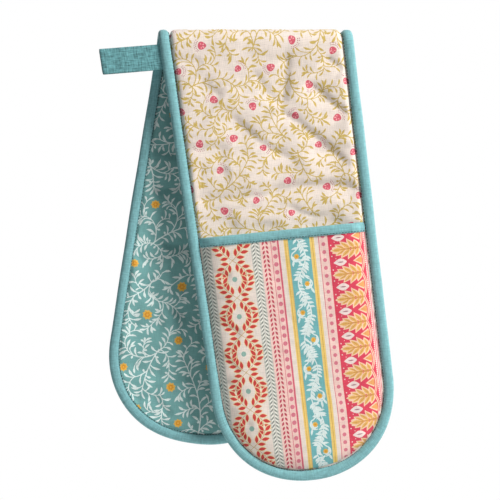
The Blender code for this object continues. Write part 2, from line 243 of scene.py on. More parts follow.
inks = {
    "creamCotton": "#ecdfd5",
    "vineOchre": "#ccb160",
    "berryRed": "#d65f70",
    "berryPink": "#f2b0b2",
    "berrySpeck": "#a8485a",
    "tealCotton": "#75a9a8",
    "vineWhite": "#dceae8",
    "flowerYellow": "#e6b44e",
    "flowerOrange": "#dc9534",
    "leafRed": "#cf4440",
    "leafHalo": "#efdcae",
    "leafStem": "#c9a86a",
    "braidGround": "#d3d1c8",
    "braidGrey": "#7b807a",
    "braidLight": "#f0eee6",
    "dotGreen": "#8fb3a8",
    "tickRed": "#bf4659",
    "palePink": "#f3cfc6",
    "dotPink": "#d97c8c",
    "linePink": "#d96478",
    "stripeYellow": "#eecd78",
    "stripeOchre": "#d8a850",
    "columnTeal": "#72b4b8",
    "borderRed": "#d9465d",
    "palmGold": "#e2b266",
    "palmOrange": "#cf9250",
    "fanOrange": "#e2a062",
    "budLine": "#a5707a",
    "palmLight": "#f1cdb0",
    "budCream": "#ecd9d4",
}
inkNames = list(inks)
ink = {name: index for index, name in enumerate(inkNames)}
# printed cotton: the inks soak into the bleached cloth, so they stay as matt as it is and its weave shows
printedInks = [
    cottonMaterial("printed_cotton_" + name, inks[name], weave["thread"], shade=0.07, slubShade=0.08)
    for name in inkNames
]
# bias tape: cotton dyed through and pressed, even in colour, with threads that show as a fine checker
tape = cottonMaterial("bias_tape_cotton", "#7fb5ba", weave["tapeThread"], shade=0.16, slubShade=0.2)
# slub tape: woven from yarn spun thick and thin, so pale and dark streaks cross in it
loopTape = cottonMaterial("slub_tape_cotton", "#679ea3", weave["tapeThread"], shade=0.2, slubShade=0.55)
# sewing thread: tightly twisted cotton, smoother than the cloth and with a little more lustre; its colour is
# darker than the tape's partly as painted shade, standing in for the shadow in the groove along the tapes'
# seams
threadAndSeamShade = cottonMaterial(
    "sewing_thread_and_painted_seam_shade", "#2f4f52", weave["tapeThread"], shade=0.05, sheen=0.3, bump=0.5
)
print("materials made:", len(bpy.data.materials))


# Drawing in the flat: every mark is a closed outline with an ink

leafForm = {
    "belly": 0.85,  # below 1, a leaf is widest nearer its stalk
    "root": 0.16,  # its width at the stalk, against its widest
    "stalkShare": 0.34,  # of a curled leaf's length
}


def ahead(x, y, angle, way):
    return x + way * math.cos(angle), y + way * math.sin(angle)


def turned(points, x, y, angle):
    c, s = math.cos(angle), math.sin(angle)
    return [(x + c * u - s * v, y + s * u + c * v) for u, v in points]


def leafMark(x, y, angle, length, width, bow=0.0, steps=5):
    # a lance-shaped leaf from its stalk to its point
    upper, lower = [], []
    for i in range(steps):
        t = i / steps
        half = width / 2 * max(math.sin(math.pi * t ** leafForm["belly"]), leafForm["root"])
        middle = bow * length * math.sin(math.pi * t / 2) ** 2
        upper.append((t * length, middle + half))
        lower.append((t * length, middle - half))
    return turned([*lower, (length, bow * length), *upper[::-1]], x, y, angle)


def roundMark(x, y, radius, sides=14, flat=1.0, lobes=0, lobe=0.0, angle=0.0):
    # a dot, or a flower's outline where it has lobes
    outline = []
    for i in range(sides):
        a = fullTurn * i / sides
        r = radius * (1 + lobe * math.cos(lobes * a))
        outline.append((r * math.cos(a), flat * r * math.sin(a)))
    return turned(outline, x, y, angle)


def edgesAt(line, i, half):
    # the places left and right of a line's point, half a width away
    x, y = line[i]
    ax, ay = line[max(i - 1, 0)]
    bx, by = line[min(i + 1, len(line) - 1)]
    run = math.hypot(bx - ax, by - ay) or 1
    dx, dy = (by - ay) / run * half, (bx - ax) / run * half
    return (x - dx, y + dy), (x + dx, y - dy)


def stemMark(line, widthStart, widthEnd):
    last = len(line) - 1
    edges = [edgesAt(line, i, (widthStart + (widthEnd - widthStart) * i / last) / 2) for i in range(last + 1)]
    return [right for _, right in edges] + [left for left, _ in edges[::-1]]


def curledLeaf(line, width, stalk):
    # a thin stalk that widens into a pointed blade along a bent line
    last, share = len(line) - 1, leafForm["stalkShare"]
    edges = []
    for i in range(last):
        t = (i / last - share) / (1 - share)
        blade = width / 2 * math.sin(math.pi * t ** leafForm["belly"]) if t > 0 else 0
        edges.append(edgesAt(line, i, max(stalk / 2, blade)))
    return [*[right for _, right in edges], line[-1], *[left for left, _ in edges[::-1]]]


def boxMark(x0, x1, y0, y1):
    return [(x0, y0), (x1, y0), (x1, y1), (x0, y1)]


def arcLine(x, y, heading, turn, length, steps):
    # a line that bends evenly by turn over its length
    points = [(x, y)]
    for i in range(steps):
        x, y = ahead(x, y, heading + turn * (i + 0.5) / steps, length / steps)
        points.append((x, y))
    return points


class Bed:
    # remembers what is already drawn, so that vines grow into free room
    def __init__(self, cell):
        self.cell = cell
        self.spots = {}

    def take(self, x, y, owner):
        self.spots.setdefault((int(x // self.cell), int(y // self.cell)), []).append((x, y, owner))

    def near(self, x, y, room):
        reach = int(math.ceil(room / self.cell))
        cx, cy = int(x // self.cell), int(y // self.cell)
        for i in range(cx - reach, cx + reach + 1):
            for j in range(cy - reach, cy + reach + 1):
                for px, py, owner in self.spots.get((i, j), ()):
                    if (px - x) ** 2 + (py - y) ** 2 < room * room:
                        yield px, py, owner

    def free(self, x, y, room, own=()):
        return all(owner in own for _, _, owner in self.near(x, y, room))


growth = {  # what the vines of both prints share
    "bedCell": 4 * mm,
    "stemCell": 8 * mm,
    "wander": 0.02,  # how far a stem strays from its bend at each step
    "birthRoom": 1.3,  # a side stem may touch its parent over this many times its room
    "startRoom": 1.2,  # and a new main stem needs this many times it free
    "forkLean": (0.35, 0.55),
    "forkCurl": (0.4, 1.5),  # bend of a side stem at its start and end, against its usual bend
    "leafPoints": 6,
    "leafProbes": (3, 5, 6),  # which of a leaf's points need free room
    "leafTries": ((1.0, 0.5), (1.0, 0.8), (0.8, 0.5), (0.8, 0.95), (0.62, 0.6)),  # size and lean, in turn
    "twigReach": 22 * mm,
    "twigBend": 0.5,
    "thick": (1.0, 0.9, 0.8),  # of a main stem, its side stems and their twigs
    "taper": 0.65,
}


def growVines(area, vine, seed, blooms):
    # scrolling stems grow into free room and fork to alternate sides; leaves curl away from them on stalks
    x0, x1, y0, y1 = area
    rng = random.Random(seed)
    bed, stemBed, marks, stems = Bed(growth["bedCell"]), Bed(growth["stemCell"]), [], []
    for x, y, radius in blooms:
        for ring in (0, 0.5, 1):
            for i in range(12):
                bed.take(*ahead(x, y, fullTurn * i / 12, ring * radius), -1)

    def grow(x, y, heading, turns, reach, level, parent):
        # turns are the bend for each millimetre at the stem's start and at its end
        points, headings = [(x, y)], [heading]
        owner, steps = len(stems) + 1, int(reach / vine["step"])
        for step in range(steps):
            t = step / steps
            bend = (turns[0] + (turns[1] - turns[0]) * t) * vine["step"] / mm
            heading += bend + rng.gauss(0, growth["wander"])
            nx, ny = ahead(x, y, heading, vine["step"])
            grown = step * vine["step"]
            own = (owner, parent) if grown < vine["room"][level] * growth["birthRoom"] else (owner,)
            if not (x0 < nx < x1 and y0 < ny < y1) or not bed.free(nx, ny, vine["room"][level], own):
                break
            x, y = nx, ny
            points.append((x, y))
            headings.append(heading)
        if len(points) * vine["step"] < vine["least"][level]:
            return
        stems.append({"points": points, "headings": headings, "level": level, "owner": owner})
        for i, (px, py) in enumerate(points):
            bed.take(px, py, owner)
            if 1 < i < len(points) - 1:
                stemBed.take(px, py, (owner, headings[i], level))

    def fork(stem):
        points, headings, level = stem["points"], stem["headings"], stem["level"]
        gap, side = max(1, int(vine["forkGap"][level] / vine["step"])), rng.choice((-1, 1))
        for i in range(max(2, gap // 2), len(points) - 1, gap):
            side = -side
            turn = side * vine["curl"][level + 1] * rng.uniform(0.75, 1.25)
            turns = [turn * share for share in growth["forkCurl"]]
            heading = headings[i] + side * rng.uniform(*growth["forkLean"])
            reach = vine["reach"][level + 1] * rng.uniform(0.8, 1.2)
            grow(*points[i], heading, turns, reach, level + 1, stem["owner"])

    def leafAt(x, y, heading, side, length, owner, spread=1.0):
        # the first leaf that finds room; spread 0 lets it run straight on
        for share, lean in growth["leafTries"]:
            turn = side * vine["leafTurn"] * rng.uniform(0.7, 1.2)
            line = arcLine(x, y, heading + side * lean * spread, turn, length * share, growth["leafPoints"])
            if all(bed.free(*line[i], vine["leafRoom"], (owner,)) for i in growth["leafProbes"]):
                width = vine["leafWidth"] * rng.uniform(0.85, 1.15) * share ** 0.4
                marks.append((curledLeaf(line, width, vine["stalk"]), vine["ink"]))
                for i in growth["leafProbes"]:
                    bed.take(*line[i], owner + 0.5)
                return

    def dress(stem):
        points, headings, owner = stem["points"], stem["headings"], stem["owner"]
        side, since = rng.choice((-1, 1)), 0
        last = len(points) - 1
        for i in range(1, last):
            since += vine["step"]
            if since >= vine["leafGap"]:
                since, side = 0, -side
                leafAt(*points[i], headings[i], side, vine["leaf"] * rng.uniform(0.85, 1.15), owner)
        bend = rng.choice((-1, 1))
        leafAt(*points[last], headings[last], bend, vine["leaf"] * 0.9, owner, 0.0)
        leafAt(*points[last], headings[last], -bend, vine["leaf"] * 0.8, owner)

    def start(x, y):
        turn = rng.choice((-1, 1)) * vine["curl"][0] * rng.uniform(0.6, 1.2)
        first = len(stems)
        grow(x, y, rng.uniform(0, fullTurn), (turn, -turn * rng.uniform(0.2, 1)), vine["reach"][0], 0, 0)
        while first < len(stems):
            if stems[first]["level"] < 2:
                fork(stems[first])
            first += 1

    def addTwig(x, y):
        # a twig reaches from the nearest stem into room that is left
        roots = [
            (math.hypot(px - x, py - y), px, py, owner)
            for px, py, owner in stemBed.near(x, y, growth["twigReach"])
        ]
        if not roots:
            return
        far, px, py, (owner, heading, _) = min(roots)
        aim = math.atan2(y - py, x - px)
        off = (aim - heading + math.pi) % fullTurn - math.pi
        side = 1 if off > 0 else -1
        bend = growth["twigBend"] * side * min(1.0, abs(off))
        line = arcLine(px, py, aim - bend, 2 * bend, far, max(4, int(far / vine["step"])))
        if any(not bed.free(*p, vine["leafRoom"] * 0.8, (owner,)) for p in line[len(line) // 2:]):
            return
        if far < vine["leaf"] * 1.15:
            leaf = arcLine(px, py, aim - bend, 2 * bend, far, growth["leafPoints"])
            marks.append((curledLeaf(leaf, vine["leafWidth"], vine["stalk"]), vine["ink"]))
            for p in line[1:]:
                bed.take(*p, owner)
            return
        number = len(stems) + 1
        headings = [aim - bend + 2 * bend * i / (len(line) - 1) for i in range(len(line))]
        stems.append({"points": line, "headings": headings, "level": 2, "owner": number})
        for i, p in enumerate(line[1:]):
            bed.take(*p, number)
            stemBed.take(*p, (number, headings[i + 1], 2))
        for i in range(2, len(line), 2):
            leafAt(*line[i], headings[i], (-1) ** (i // 2), vine["leaf"] * 0.85, number)
        leafAt(*line[-1], headings[-1], side, vine["leaf"] * 0.85, number, 0.0)

    for _ in range(vine["tries"]):
        x, y = rng.uniform(x0, x1), rng.uniform(y0, y1)
        if bed.free(x, y, vine["room"][0] * growth["startRoom"]):
            start(x, y)
    for stem in stems:
        dress(stem)
    for _ in range(vine["tries"] * 4):
        x, y = rng.uniform(x0, x1), rng.uniform(y0, y1)
        if bed.free(x, y, vine["twigRoom"]):
            addTwig(x, y)
    for stem in stems:
        thick = vine["stem"] * growth["thick"][stem["level"]]
        marks.append((stemMark(stem["points"], thick, thick * growth["taper"]), vine["ink"]))
    return marks


def scatter(area, gap, seed, radius, tries=4000):
    # places strewn at random, at least a gap apart
    x0, x1, y0, y1 = area
    rng = random.Random(seed)
    found = []
    for _ in range(tries):
        x, y = rng.uniform(x0, x1), rng.uniform(y0, y1)
        if all((x - px) ** 2 + (y - py) ** 2 > gap * gap for px, py, _ in found):
            found.append((x, y, radius))
    return found


berry = {
    "radius": 3.8 * mm,
    "gap": 31 * mm,
    "room": 5.2 * mm,  # kept free of vines
    "shines": ((-1.9, 0.22), (-0.7, 0.3), (0.6, 0.26), (1.9, 0.2)),  # turn and size of its pale spots
    "fan": 7.6 * mm,  # reach of its specks, which stand in rows
    "rows": (0.98, 0.76),
    "inRow": 8,
    "rowStep": 0.24,
    "speck": 0.45 * mm,
}


def berryMarks(x, y, rng):
    marks = []
    lean = rng.uniform(0, fullTurn)
    radius = berry["radius"] * rng.uniform(0.9, 1.1)
    marks.append((roundMark(x, y, radius, 18, 0.9, 3, 0.08, lean), ink["berryRed"]))
    for turn, size in berry["shines"]:
        cx, cy = ahead(x, y, lean + turn, 0.5 * radius)
        marks.append((roundMark(cx, cy, radius * size, 8, 0.55, angle=lean + turn), ink["berryPink"]))
    for share in berry["rows"]:
        for i in range(berry["inRow"]):
            off = (i - (berry["inRow"] - 1) / 2) * berry["rowStep"]
            a = lean + math.pi + off + rng.uniform(-0.05, 0.05)
            cx, cy = ahead(x, y, a, berry["fan"] * share)
            marks.append((roundMark(cx, cy, berry["speck"], 5), ink["berrySpeck"]))
    return marks


flower = {
    "radius": 4.3 * mm,
    "gap": 37 * mm,
    "room": 5.2 * mm,
    "petals": 8,
    "heart": 0.58,  # the inner rings, against the radius
    "eye": 0.24,
}


def flowerMarks(x, y, rng):
    lean = rng.uniform(0, fullTurn)
    radius = flower["radius"] * rng.uniform(0.9, 1.1)
    return [
        (roundMark(x, y, radius, 40, 0.95, flower["petals"], 0.13, lean), ink["flowerYellow"]),
        (roundMark(x, y, radius * flower["heart"], 24, 1.0, 6, 0.14, lean), ink["flowerOrange"]),
        (roundMark(x, y, radius * flower["eye"], 8), ink["flowerYellow"]),
    ]


creamVine = {
    "ink": ink["vineOchre"],
    # for a main stem, its side stems and their twigs
    "room": (12 * mm, 7.4 * mm, 5.6 * mm),  # to other stems
    "least": (24 * mm, 10 * mm, 6 * mm),  # a shorter one is dropped
    "reach": (160 * mm, 46 * mm, 18 * mm),
    "curl": (0.024, 0.055, 0.09),  # bend for each millimetre
    "forkGap": (11 * mm, 10 * mm),
    "step": 1.6 * mm,
    "stem": 1.15 * mm,
    "stalk": 0.8 * mm,
    "leaf": 10.6 * mm,
    "leafWidth": 2.15 * mm,
    "leafTurn": 1.15,
    "leafGap": 4.6 * mm,
    "leafRoom": 1.4 * mm,
    "twigRoom": 3.4 * mm,
    "tries": 2400,
}
tealVine = {
    **creamVine,
    "ink": ink["vineWhite"],
    "room": (13 * mm, 8.0 * mm, 6.0 * mm),
    "reach": (190 * mm, 52 * mm, 20 * mm),
    "curl": (0.022, 0.055, 0.09),
    "stem": 1.3 * mm,
    "stalk": 0.95 * mm,
    "leaf": 11.4 * mm,
    "leafWidth": 2.3 * mm,
    "leafGap": 5.0 * mm,
    "twigRoom": 3.3 * mm,
    "tries": 4000,
}


def vinePrint(area, seed, vine, bloom, bloomMarks):
    # vines with berries or flowers strewn over them
    rng = random.Random(seed)
    spots = scatter(area, bloom["gap"], seed, bloom["room"])
    marks = growVines(area, vine, seed, spots)
    for x, y, _ in spots:
        marks += bloomMarks(x, y, rng)
    return marks


# Sheets with the print laid into their mesh

sheets = {
    "rim": 6 * mm,  # how far inside the edge a cloth ends, under the tape
    "bendGrid": 2 * mm,  # finer net over the rail
    "bendReach": 16 * mm,
    "hiddenFrom": 12 * mm,  # past a pocket's mouth the body's cloth is hidden and its net coarser
    "jitter": 0.3,  # of the net's points, in millimetres
    "edgeStep": 3.5 * mm,
    "probe": 0.3 * mm,
    "seed": 3,
    "printHalf": 86 * mm,
    "printPast": 45 * mm,  # how far the open cloth's print runs on under a pocket
    "printEnd": 8 * mm,
}


def splitLong(outline):
    points = []
    for (ax, ay), (bx, by) in zip(outline, outline[1:] + outline[:1]):
        pieces = max(1, int(math.ceil(math.hypot(bx - ax, by - ay) / sheets["edgeStep"])))
        points += [(ax + (bx - ax) * i / pieces, ay + (by - ay) * i / pieces) for i in range(pieces)]
    return points


def isCounterClockwise(outline):
    return sum(ax * by - bx * ay for (ax, ay), (bx, by) in zip(outline, outline[1:] + outline[:1])) > 0


def bandOutline(inset, y0, y1, steps=40):
    # the band's own outline, pulled in and cut off at y0 and y1
    radius = band["halfWidth"] - inset
    points = []
    for centre, start in ((frontCentre, math.pi), (backCentre, 0)):
        for i in range(steps + 1):
            a = start + math.pi * i / steps
            points.append((radius * math.cos(a), centre + radius * math.sin(a)))
    clipped = [(x, min(max(y, y0), y1)) for x, y in points]
    return [p for i, p in enumerate(clipped) if p != clipped[i - 1]]


def surfaceOf(height, x, y, side):
    # places and normals of a sheet that lies at height(x, y) over the lining
    probe = sheets["probe"]
    here = hangUp(np.stack([x, y, height(x, y)], 1))
    alongX = hangUp(np.stack([x + probe, y, height(x + probe, y)], 1)) - here
    alongY = hangUp(np.stack([x, y + probe, height(x, y + probe)], 1)) - here
    normal = np.cross(alongX, alongY) * side
    return here, normal / np.linalg.norm(normal, axis=1)[:, None]


def meshFrom(name, places, faces, materials, faceInks=None, flat=None, normals=None):
    mesh = bpy.data.meshes.new(name)
    mesh.from_pydata([tuple(p) for p in places], [], [tuple(f) for f in faces])
    for material in materials:
        mesh.materials.append(material)
    if faceInks is not None:
        mesh.polygons.foreach_set("material_index", faceInks)
    if flat is not None:
        layer = mesh.uv_layers.new(name="flat")
        corners = np.zeros(len(mesh.loops), np.int32)
        mesh.loops.foreach_get("vertex_index", corners)
        layer.data.foreach_set("uv", np.asarray(flat, np.float32)[corners].ravel())
    mesh.shade_smooth()
    if normals is not None:
        mesh.normals_split_custom_set_from_vertices([tuple(n) for n in normals])
    obj = bpy.data.objects.new(name, mesh)
    bpy.context.scene.collection.objects.link(obj)
    return obj


def printedSheet(
    name, outline, ground, marks, height, side=1, cuts=(), rings=(), grid=5 * mm, hiddenGrid=None
):
    # triangulates the sheet around every mark of its print, then hangs it up;
    # cuts are lines that its faces don't cross, and rings are rows of points along its seam
    rng = random.Random(sheets["seed"])
    spots, faces, faceInk = [], [], []
    lines = []

    def addFace(points, colour):
        points = splitLong(points)
        if not isCounterClockwise(points):
            points = points[::-1]
        faces.append(list(range(len(spots), len(spots) + len(points))))
        spots.extend(points)
        faceInk.append(colour)

    addFace(outline, ground)
    for points, colour in marks:
        addFace(points, colour)
    for a, b in cuts:
        # splitLong closes the line, so only the way there is used
        points = splitLong([a, b])[: int(math.ceil(math.dist(a, b) / sheets["edgeStep"])) + 1]
        start = len(spots)
        spots.extend(points)
        lines += [(start + i, start + i + 1) for i in range(len(points) - 1)]
    for ring in rings:
        points = splitLong(ring)
        start = len(spots)
        spots.extend(points)
        lines += [(start + i, start + (i + 1) % len(points)) for i in range(len(points))]
    xs, ys = [p[0] for p in outline], [p[1] for p in outline]
    past, jitter = sheets["hiddenFrom"], sheets["jitter"]
    y = min(ys)
    while y < max(ys):
        hidden = hiddenGrid and not (mouths["front"] - past < y < mouths["back"] + past)
        across = step = hiddenGrid if hidden else grid
        if abs(y) < halfBend + sheets["bendReach"]:
            step = sheets["bendGrid"]
        x = min(xs) + rng.uniform(0, 1) * across
        while x < max(xs):
            spots.append((x + rng.uniform(-jitter, jitter) * mm, y + rng.uniform(-jitter, jitter) * mm))
            x += across
        y += step
    coords = [Vector((x / mm, y / mm)) for x, y in spots]
    # the last list says which outlines each cell lies in: the sheet itself is 0, and the last drawn wins
    corners2d, _, cells, _, _, cellOwners = delaunay_2d_cdt(coords, lines, faces, 1, 1e-4, True)
    kept, colours = [], []
    for corners, owners in zip(cells, cellOwners):
        if 0 in owners:
            kept.append(corners if side > 0 else corners[::-1])
            colours.append(faceInk[max(owners)])
    inUse = sorted({corner for corners in kept for corner in corners})
    order = {corner: i for i, corner in enumerate(inUse)}
    kept = [[order[corner] for corner in corners] for corners in kept]
    points = np.array([corners2d[corner][:] for corner in inUse]) * mm
    used = sorted(set(colours))
    places, normals = surfaceOf(height, points[:, 0], points[:, 1], side)
    return meshFrom(
        name, places, kept, [printedInks[i] for i in used], [used.index(c) for c in colours], points, normals
    ), points


# The body's surfaces

crown = {
    "rise": 3.1 * mm,  # how far the padded cloth stands over the edge's thickness
    "sink": 2.6 * mm,  # and how far it dips where it meets the tape
    "run": 1.5 * mm,  # how soon it rises
    "liningRise": 1.2 * mm,
    "bindingWidth": 10 * mm,
    "groove": 1.2 * mm,  # between the tape and the rise
    "deepest": 6.6 * mm,  # a fold stays clear of the lining
    "puckerSize": 9 * mm,
    "puckerReach": 9 * mm,
    "puckerStretch": 0.25,
    "seamRings": (0.3, 1.2, 1.8, 2.6, 3.8, 5.8),  # rows of points past the tape, in millimetres
}

pocket = {
    "seam": -1.5 * mm,  # below the body's edge at its seam
    "stand": 12.4 * mm,  # how far its middle stands over the seam, at the mouth
    "deep": 11.4 * mm,  # and further in
    "deepOver": 60 * mm,
    "run": 8 * mm,
    "padding": 3.8 * mm,
    "paddingRun": 16 * mm,
    "innerSeam": 0.25 * mm,
    "coverRun": 12 * mm,  # how soon the body's cloth lies flatter under it
    "start": 1 * mm,  # from the mouth's line to the cloth, under the mouth's tape
    "hem": 4 * mm,  # its print runs on by this much
    "grid": 3.4 * mm,
}

# Valleys in the cloths: the points of a line, then its depth and width in millimetres. The points of the
# first two lists are in the photograph's pixels, those of the third in millimetres on the flat band.
openFolds = [
    ([(274, 104), (287, 114), (300, 123), (313, 134), (326, 145), (339, 156), (354, 167)], 6.6, 4.8),
    ([(303, 77), (316, 88), (327, 98), (338, 107), (354, 118)], 5.4, 4.6),
    ([(322, 54), (332, 61), (345, 70)], 3.0, 4.0),
    ([(285, 44), (285, 62), (284, 80), (282, 96), (278, 108)], 5.0, 5.2),
    ([(250, 64), (259, 80), (270, 94), (282, 106)], 4.0, 5.0),
    ([(224, 106), (240, 124), (256, 138), (274, 150), (294, 160), (312, 165)], 5.2, 5.2),
    ([(184, 199), (210, 199), (238, 198), (266, 194), (290, 191)], 5.4, 5.2),
    ([(262, 189), (290, 185), (318, 183), (346, 184), (372, 190)], 5.8, 4.8),
    ([(184, 217), (212, 219), (240, 216)], 3.0, 4.6),
    ([(284, 201), (298, 210), (314, 215), (328, 213), (342, 203)], 3.4, 3.8),
    ([(176, 146), (205, 148), (232, 146)], 2.8, 5.6),
    ([(198, 76), (211, 88), (224, 97)], 3.0, 6.0),
    ([(168, 58), (188, 60), (206, 59)], 1.8, 4.4),
    ([(192, 170), (212, 170), (232, 166)], 2.0, 4.4),
]
pocketPulls = [
    ([(206, 268), (216, 271), (232, 276)], 2.0, 3.2),
    ([(208, 322), (222, 325), (242, 330)], 2.4, 3.4),
    ([(210, 346), (224, 357), (240, 372)], 2.2, 3.4),
    ([(217, 372), (230, 385), (243, 402)], 2.2, 3.6),
    ([(226, 408), (240, 418), (254, 424)], 1.8, 3.6),
    ([(206, 295), (217, 297), (230, 299)], 1.6, 3.0),
    ([(352, 300), (366, 298), (378, 299)], 0.8, 3.4),
]
liningPulls = [
    ([(-84, 128), (-66, 134), (-46, 134)], 2.6, 5.0),
    ([(-84, 172), (-64, 170), (-44, 162)], 3.0, 5.2),
    ([(-84, 214), (-66, 222), (-44, 226), (-24, 222)], 4.4, 5.6),
    ([(-84, 246), (-66, 243), (-50, 234)], 3.4, 5.0),
    ([(-84, 272), (-62, 278), (-36, 290), (-14, 296)], 4.4, 5.8),
    ([(-84, 312), (-62, 312), (-40, 304)], 3.6, 5.2),
    ([(-82, 346), (-60, 354), (-34, 358), (-10, 354)], 4.0, 5.6),
    ([(-72, 388), (-54, 380), (-32, 378)], 3.2, 5.0),
    ([(-46, 414), (-34, 400), (-24, 386)], 3.0, 5.0),
]


def placedIn(lines, place):
    # each point of the lines through a function that finds its place on the flat band
    return [
        ([place(*point) for point in points], depth * mm, width * mm) for points, depth, width in lines
    ]


creases, pocketCreases = placedIn(openFolds, photoSpot), placedIn(pocketPulls, photoSpot)
liningCreases = placedIn(liningPulls, lambda x, y: (x * mm, y * mm))

creaseForm = {
    "fade": 0.25,  # share of its length over which a valley runs out at each end
    "sharp": 0.68,  # the steep side: a narrow drop in a wider one
    "soft": 0.32,
    "softWidth": 2.9,
    "gentleWidth": 4,  # the other side
}


def creaseDepth(x, y, lines):
    # one side of a valley is steep, the other rises gently
    form, total = creaseForm, 0 * x
    for line, depth, width in lines:
        whole = sum(math.dist(a, b) for a, b in zip(line, line[1:]))
        nearest, run, done = np.full_like(x, 1.0), 0 * x, 0.0
        for (ax, ay), (bx, by) in zip(line, line[1:]):
            length = math.hypot(bx - ax, by - ay)
            ux, uy = (bx - ax) / length, (by - ay) / length
            along = np.clip((x - ax) * ux + (y - ay) * uy, 0, length)
            far = np.hypot(x - ax - along * ux, y - ay - along * uy)
            far = np.where(ux * (y - ay) - uy * (x - ax) > 0, far, -far)
            closer = np.abs(far) < np.abs(nearest)
            nearest, run = np.where(closer, far, nearest), np.where(closer, done + along, run)
            done += length
        fade = smooth(run / (form["fade"] * whole)) * smooth((whole - run) / (form["fade"] * whole))
        above = form["sharp"] * np.exp(-(nearest / width) ** 2)
        above = above + form["soft"] * np.exp(-(nearest / (form["softWidth"] * width)) ** 2)
        below = np.exp(np.minimum(nearest, 0) / (form["gentleWidth"] * width))
        total = total + fade * depth * np.where(nearest > 0, above, below)
    return crown["deepest"] * np.tanh(total / crown["deepest"])


def risingFrom(x, y):
    # how far a point lies past the groove beside the tape
    return insetOf(x, y) - crown["bindingWidth"] - crown["groove"]


def crownOf(x, y, run):
    return 1 - np.exp(-np.maximum(risingFrom(x, y), 0) / run)


def coveredAt(y):
    # 0 on the open cloth, 1 under a pocket
    return smooth(np.maximum(mouths["front"] - y, y - mouths["back"]) / pocket["coverRun"])


def seamRings(y0, y1):
    return [bandOutline(crown["bindingWidth"] + inset * mm, y0, y1) for inset in crown["seamRings"]]


def puckers(x, y, seed):
    # little gathers where the cloth runs under the tape
    near = np.exp(-np.maximum(insetOf(x, y) - crown["bindingWidth"], 0) / crown["puckerReach"])
    return near * waves(x * crown["puckerStretch"], y, crown["puckerSize"], seed)


def swells(x, y, terms):
    # each term is a height, a stretch across the band, a size and a seed
    return sum(height * waves(x * stretch, y, size, seed) for height, stretch, size, seed in terms)


outerForm = {
    "coveredSink": 0.7 * mm,
    "bendFlat": 0.5,  # share of the relief that the bend over the rail pulls flat
    "bendOver": 30 * mm,
    "swells": ((0.5 * mm, 1.0, 42 * mm, 5), (0.15 * mm, 1.0, 14 * mm, 6)),
    "lowSwells": ((0.45 * mm, 0.4, 24 * mm, 8),),  # only away from the rail
    "lowFrom": 50 * mm,
    "lowOver": 70 * mm,
    "gather": 0.35 * mm,
    "grid": 2.6 * mm,
    "hiddenGrid": 6 * mm,
}


def outerHeight(x, y):
    form, covered = outerForm, coveredAt(y)
    full = crownOf(x, y, crown["run"] + covered * (pocket["run"] - crown["run"]))
    sink = crown["sink"] + form["coveredSink"] * covered
    body = band["edgeThickness"] - sink + (crown["rise"] + sink) * full
    bend = 1 - form["bendFlat"] * np.exp(-(y / form["bendOver"]) ** 2)
    low = smooth((np.abs(y) - form["lowFrom"]) / form["lowOver"])
    soft = swells(x, y, form["swells"]) + low * swells(x, y, form["lowSwells"])
    return body + full * bend * (soft - creaseDepth(x, y, creases)) + form["gather"] * puckers(x, y, 7) * full


liningForm = {
    "swells": ((0.5 * mm, 1.0, 40 * mm, 15), (0.2 * mm, 0.5, 18 * mm, 16)),
    "gather": 0.7 * mm,
    "grid": 3.2 * mm,
}


def liningHeight(x, y):
    soft = swells(x, y, liningForm["swells"]) + liningForm["gather"] * puckers(x, y, 17)
    soft = soft - creaseDepth(x, y, liningCreases)
    return -crownOf(x, y, crown["run"]) * (crown["liningRise"] + soft)


wholeSpan = (frontCentre - band["halfWidth"], backCentre + band["halfWidth"])
wholeOutline = bandOutline(sheets["rim"], *wholeSpan)
printSides = (-sheets["printHalf"], sheets["printHalf"])
openArea = (*printSides, mouths["front"] - sheets["printPast"], mouths["back"] + sheets["printPast"])
outerCloth, _ = printedSheet(
    "outer_cloth", wholeOutline, ink["creamCotton"], vinePrint(openArea, 11, creamVine, berry, berryMarks),
    outerHeight, rings=seamRings(*wholeSpan), grid=outerForm["grid"], hiddenGrid=outerForm["hiddenGrid"],
)
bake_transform(outerCloth)
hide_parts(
    "front_outer_cloth", "fold_outer_cloth", "back_outer_cloth",
    "front_wadding", "fold_wadding", "back_wadding",
)
print("outer cloth:", len(outerCloth.data.polygons), "faces")

liningArea = (*printSides, sheets["printEnd"] - band["frontReach"], band["backReach"] - sheets["printEnd"])
liningCloth, _ = printedSheet(
    "lining_cloth", wholeOutline, ink["tealCotton"], vinePrint(liningArea, 23, tealVine, flower, flowerMarks),
    liningHeight, side=-1, rings=seamRings(*wholeSpan), grid=liningForm["grid"],
)
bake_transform(liningCloth)
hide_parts("front_lining", "fold_lining", "back_lining")
print("lining:", len(liningCloth.data.polygons), "faces")


# Pockets

pocketForm = {
    "swells": ((0.4 * mm, 1.0, 50 * mm, 31), (0.12 * mm, 1.0, 15 * mm, 32)),
    "gather": 0.7 * mm,
    "gatherRun": 3 * mm,
}


def pocketHeight(x, y):
    mouth = np.where(y < 0, mouths["front"] - y, y - mouths["back"])
    fuller = np.exp(-np.maximum(mouth, 0) / pocket["deepOver"])
    stand = pocket["deep"] + (pocket["stand"] - pocket["deep"]) * fuller
    pulled = np.where(y < 0, creaseDepth(x, y, pocketCreases), 0)
    rise = crownOf(x, y, pocket["run"]) * (stand + swells(x, y, pocketForm["swells"]) - pulled)
    gather = pocketForm["gather"] * puckers(x, y, 33)
    rise = rise + gather * np.clip(risingFrom(x, y) / pocketForm["gatherRun"], 0, 1)
    return band["edgeThickness"] + pocket["seam"] + rise


def pocketLiningHeight(x, y):
    full = np.clip(risingFrom(x, y) / pocket["paddingRun"], 0, 1)
    return pocketHeight(x, y) - pocket["innerSeam"] - full * pocket["padding"]


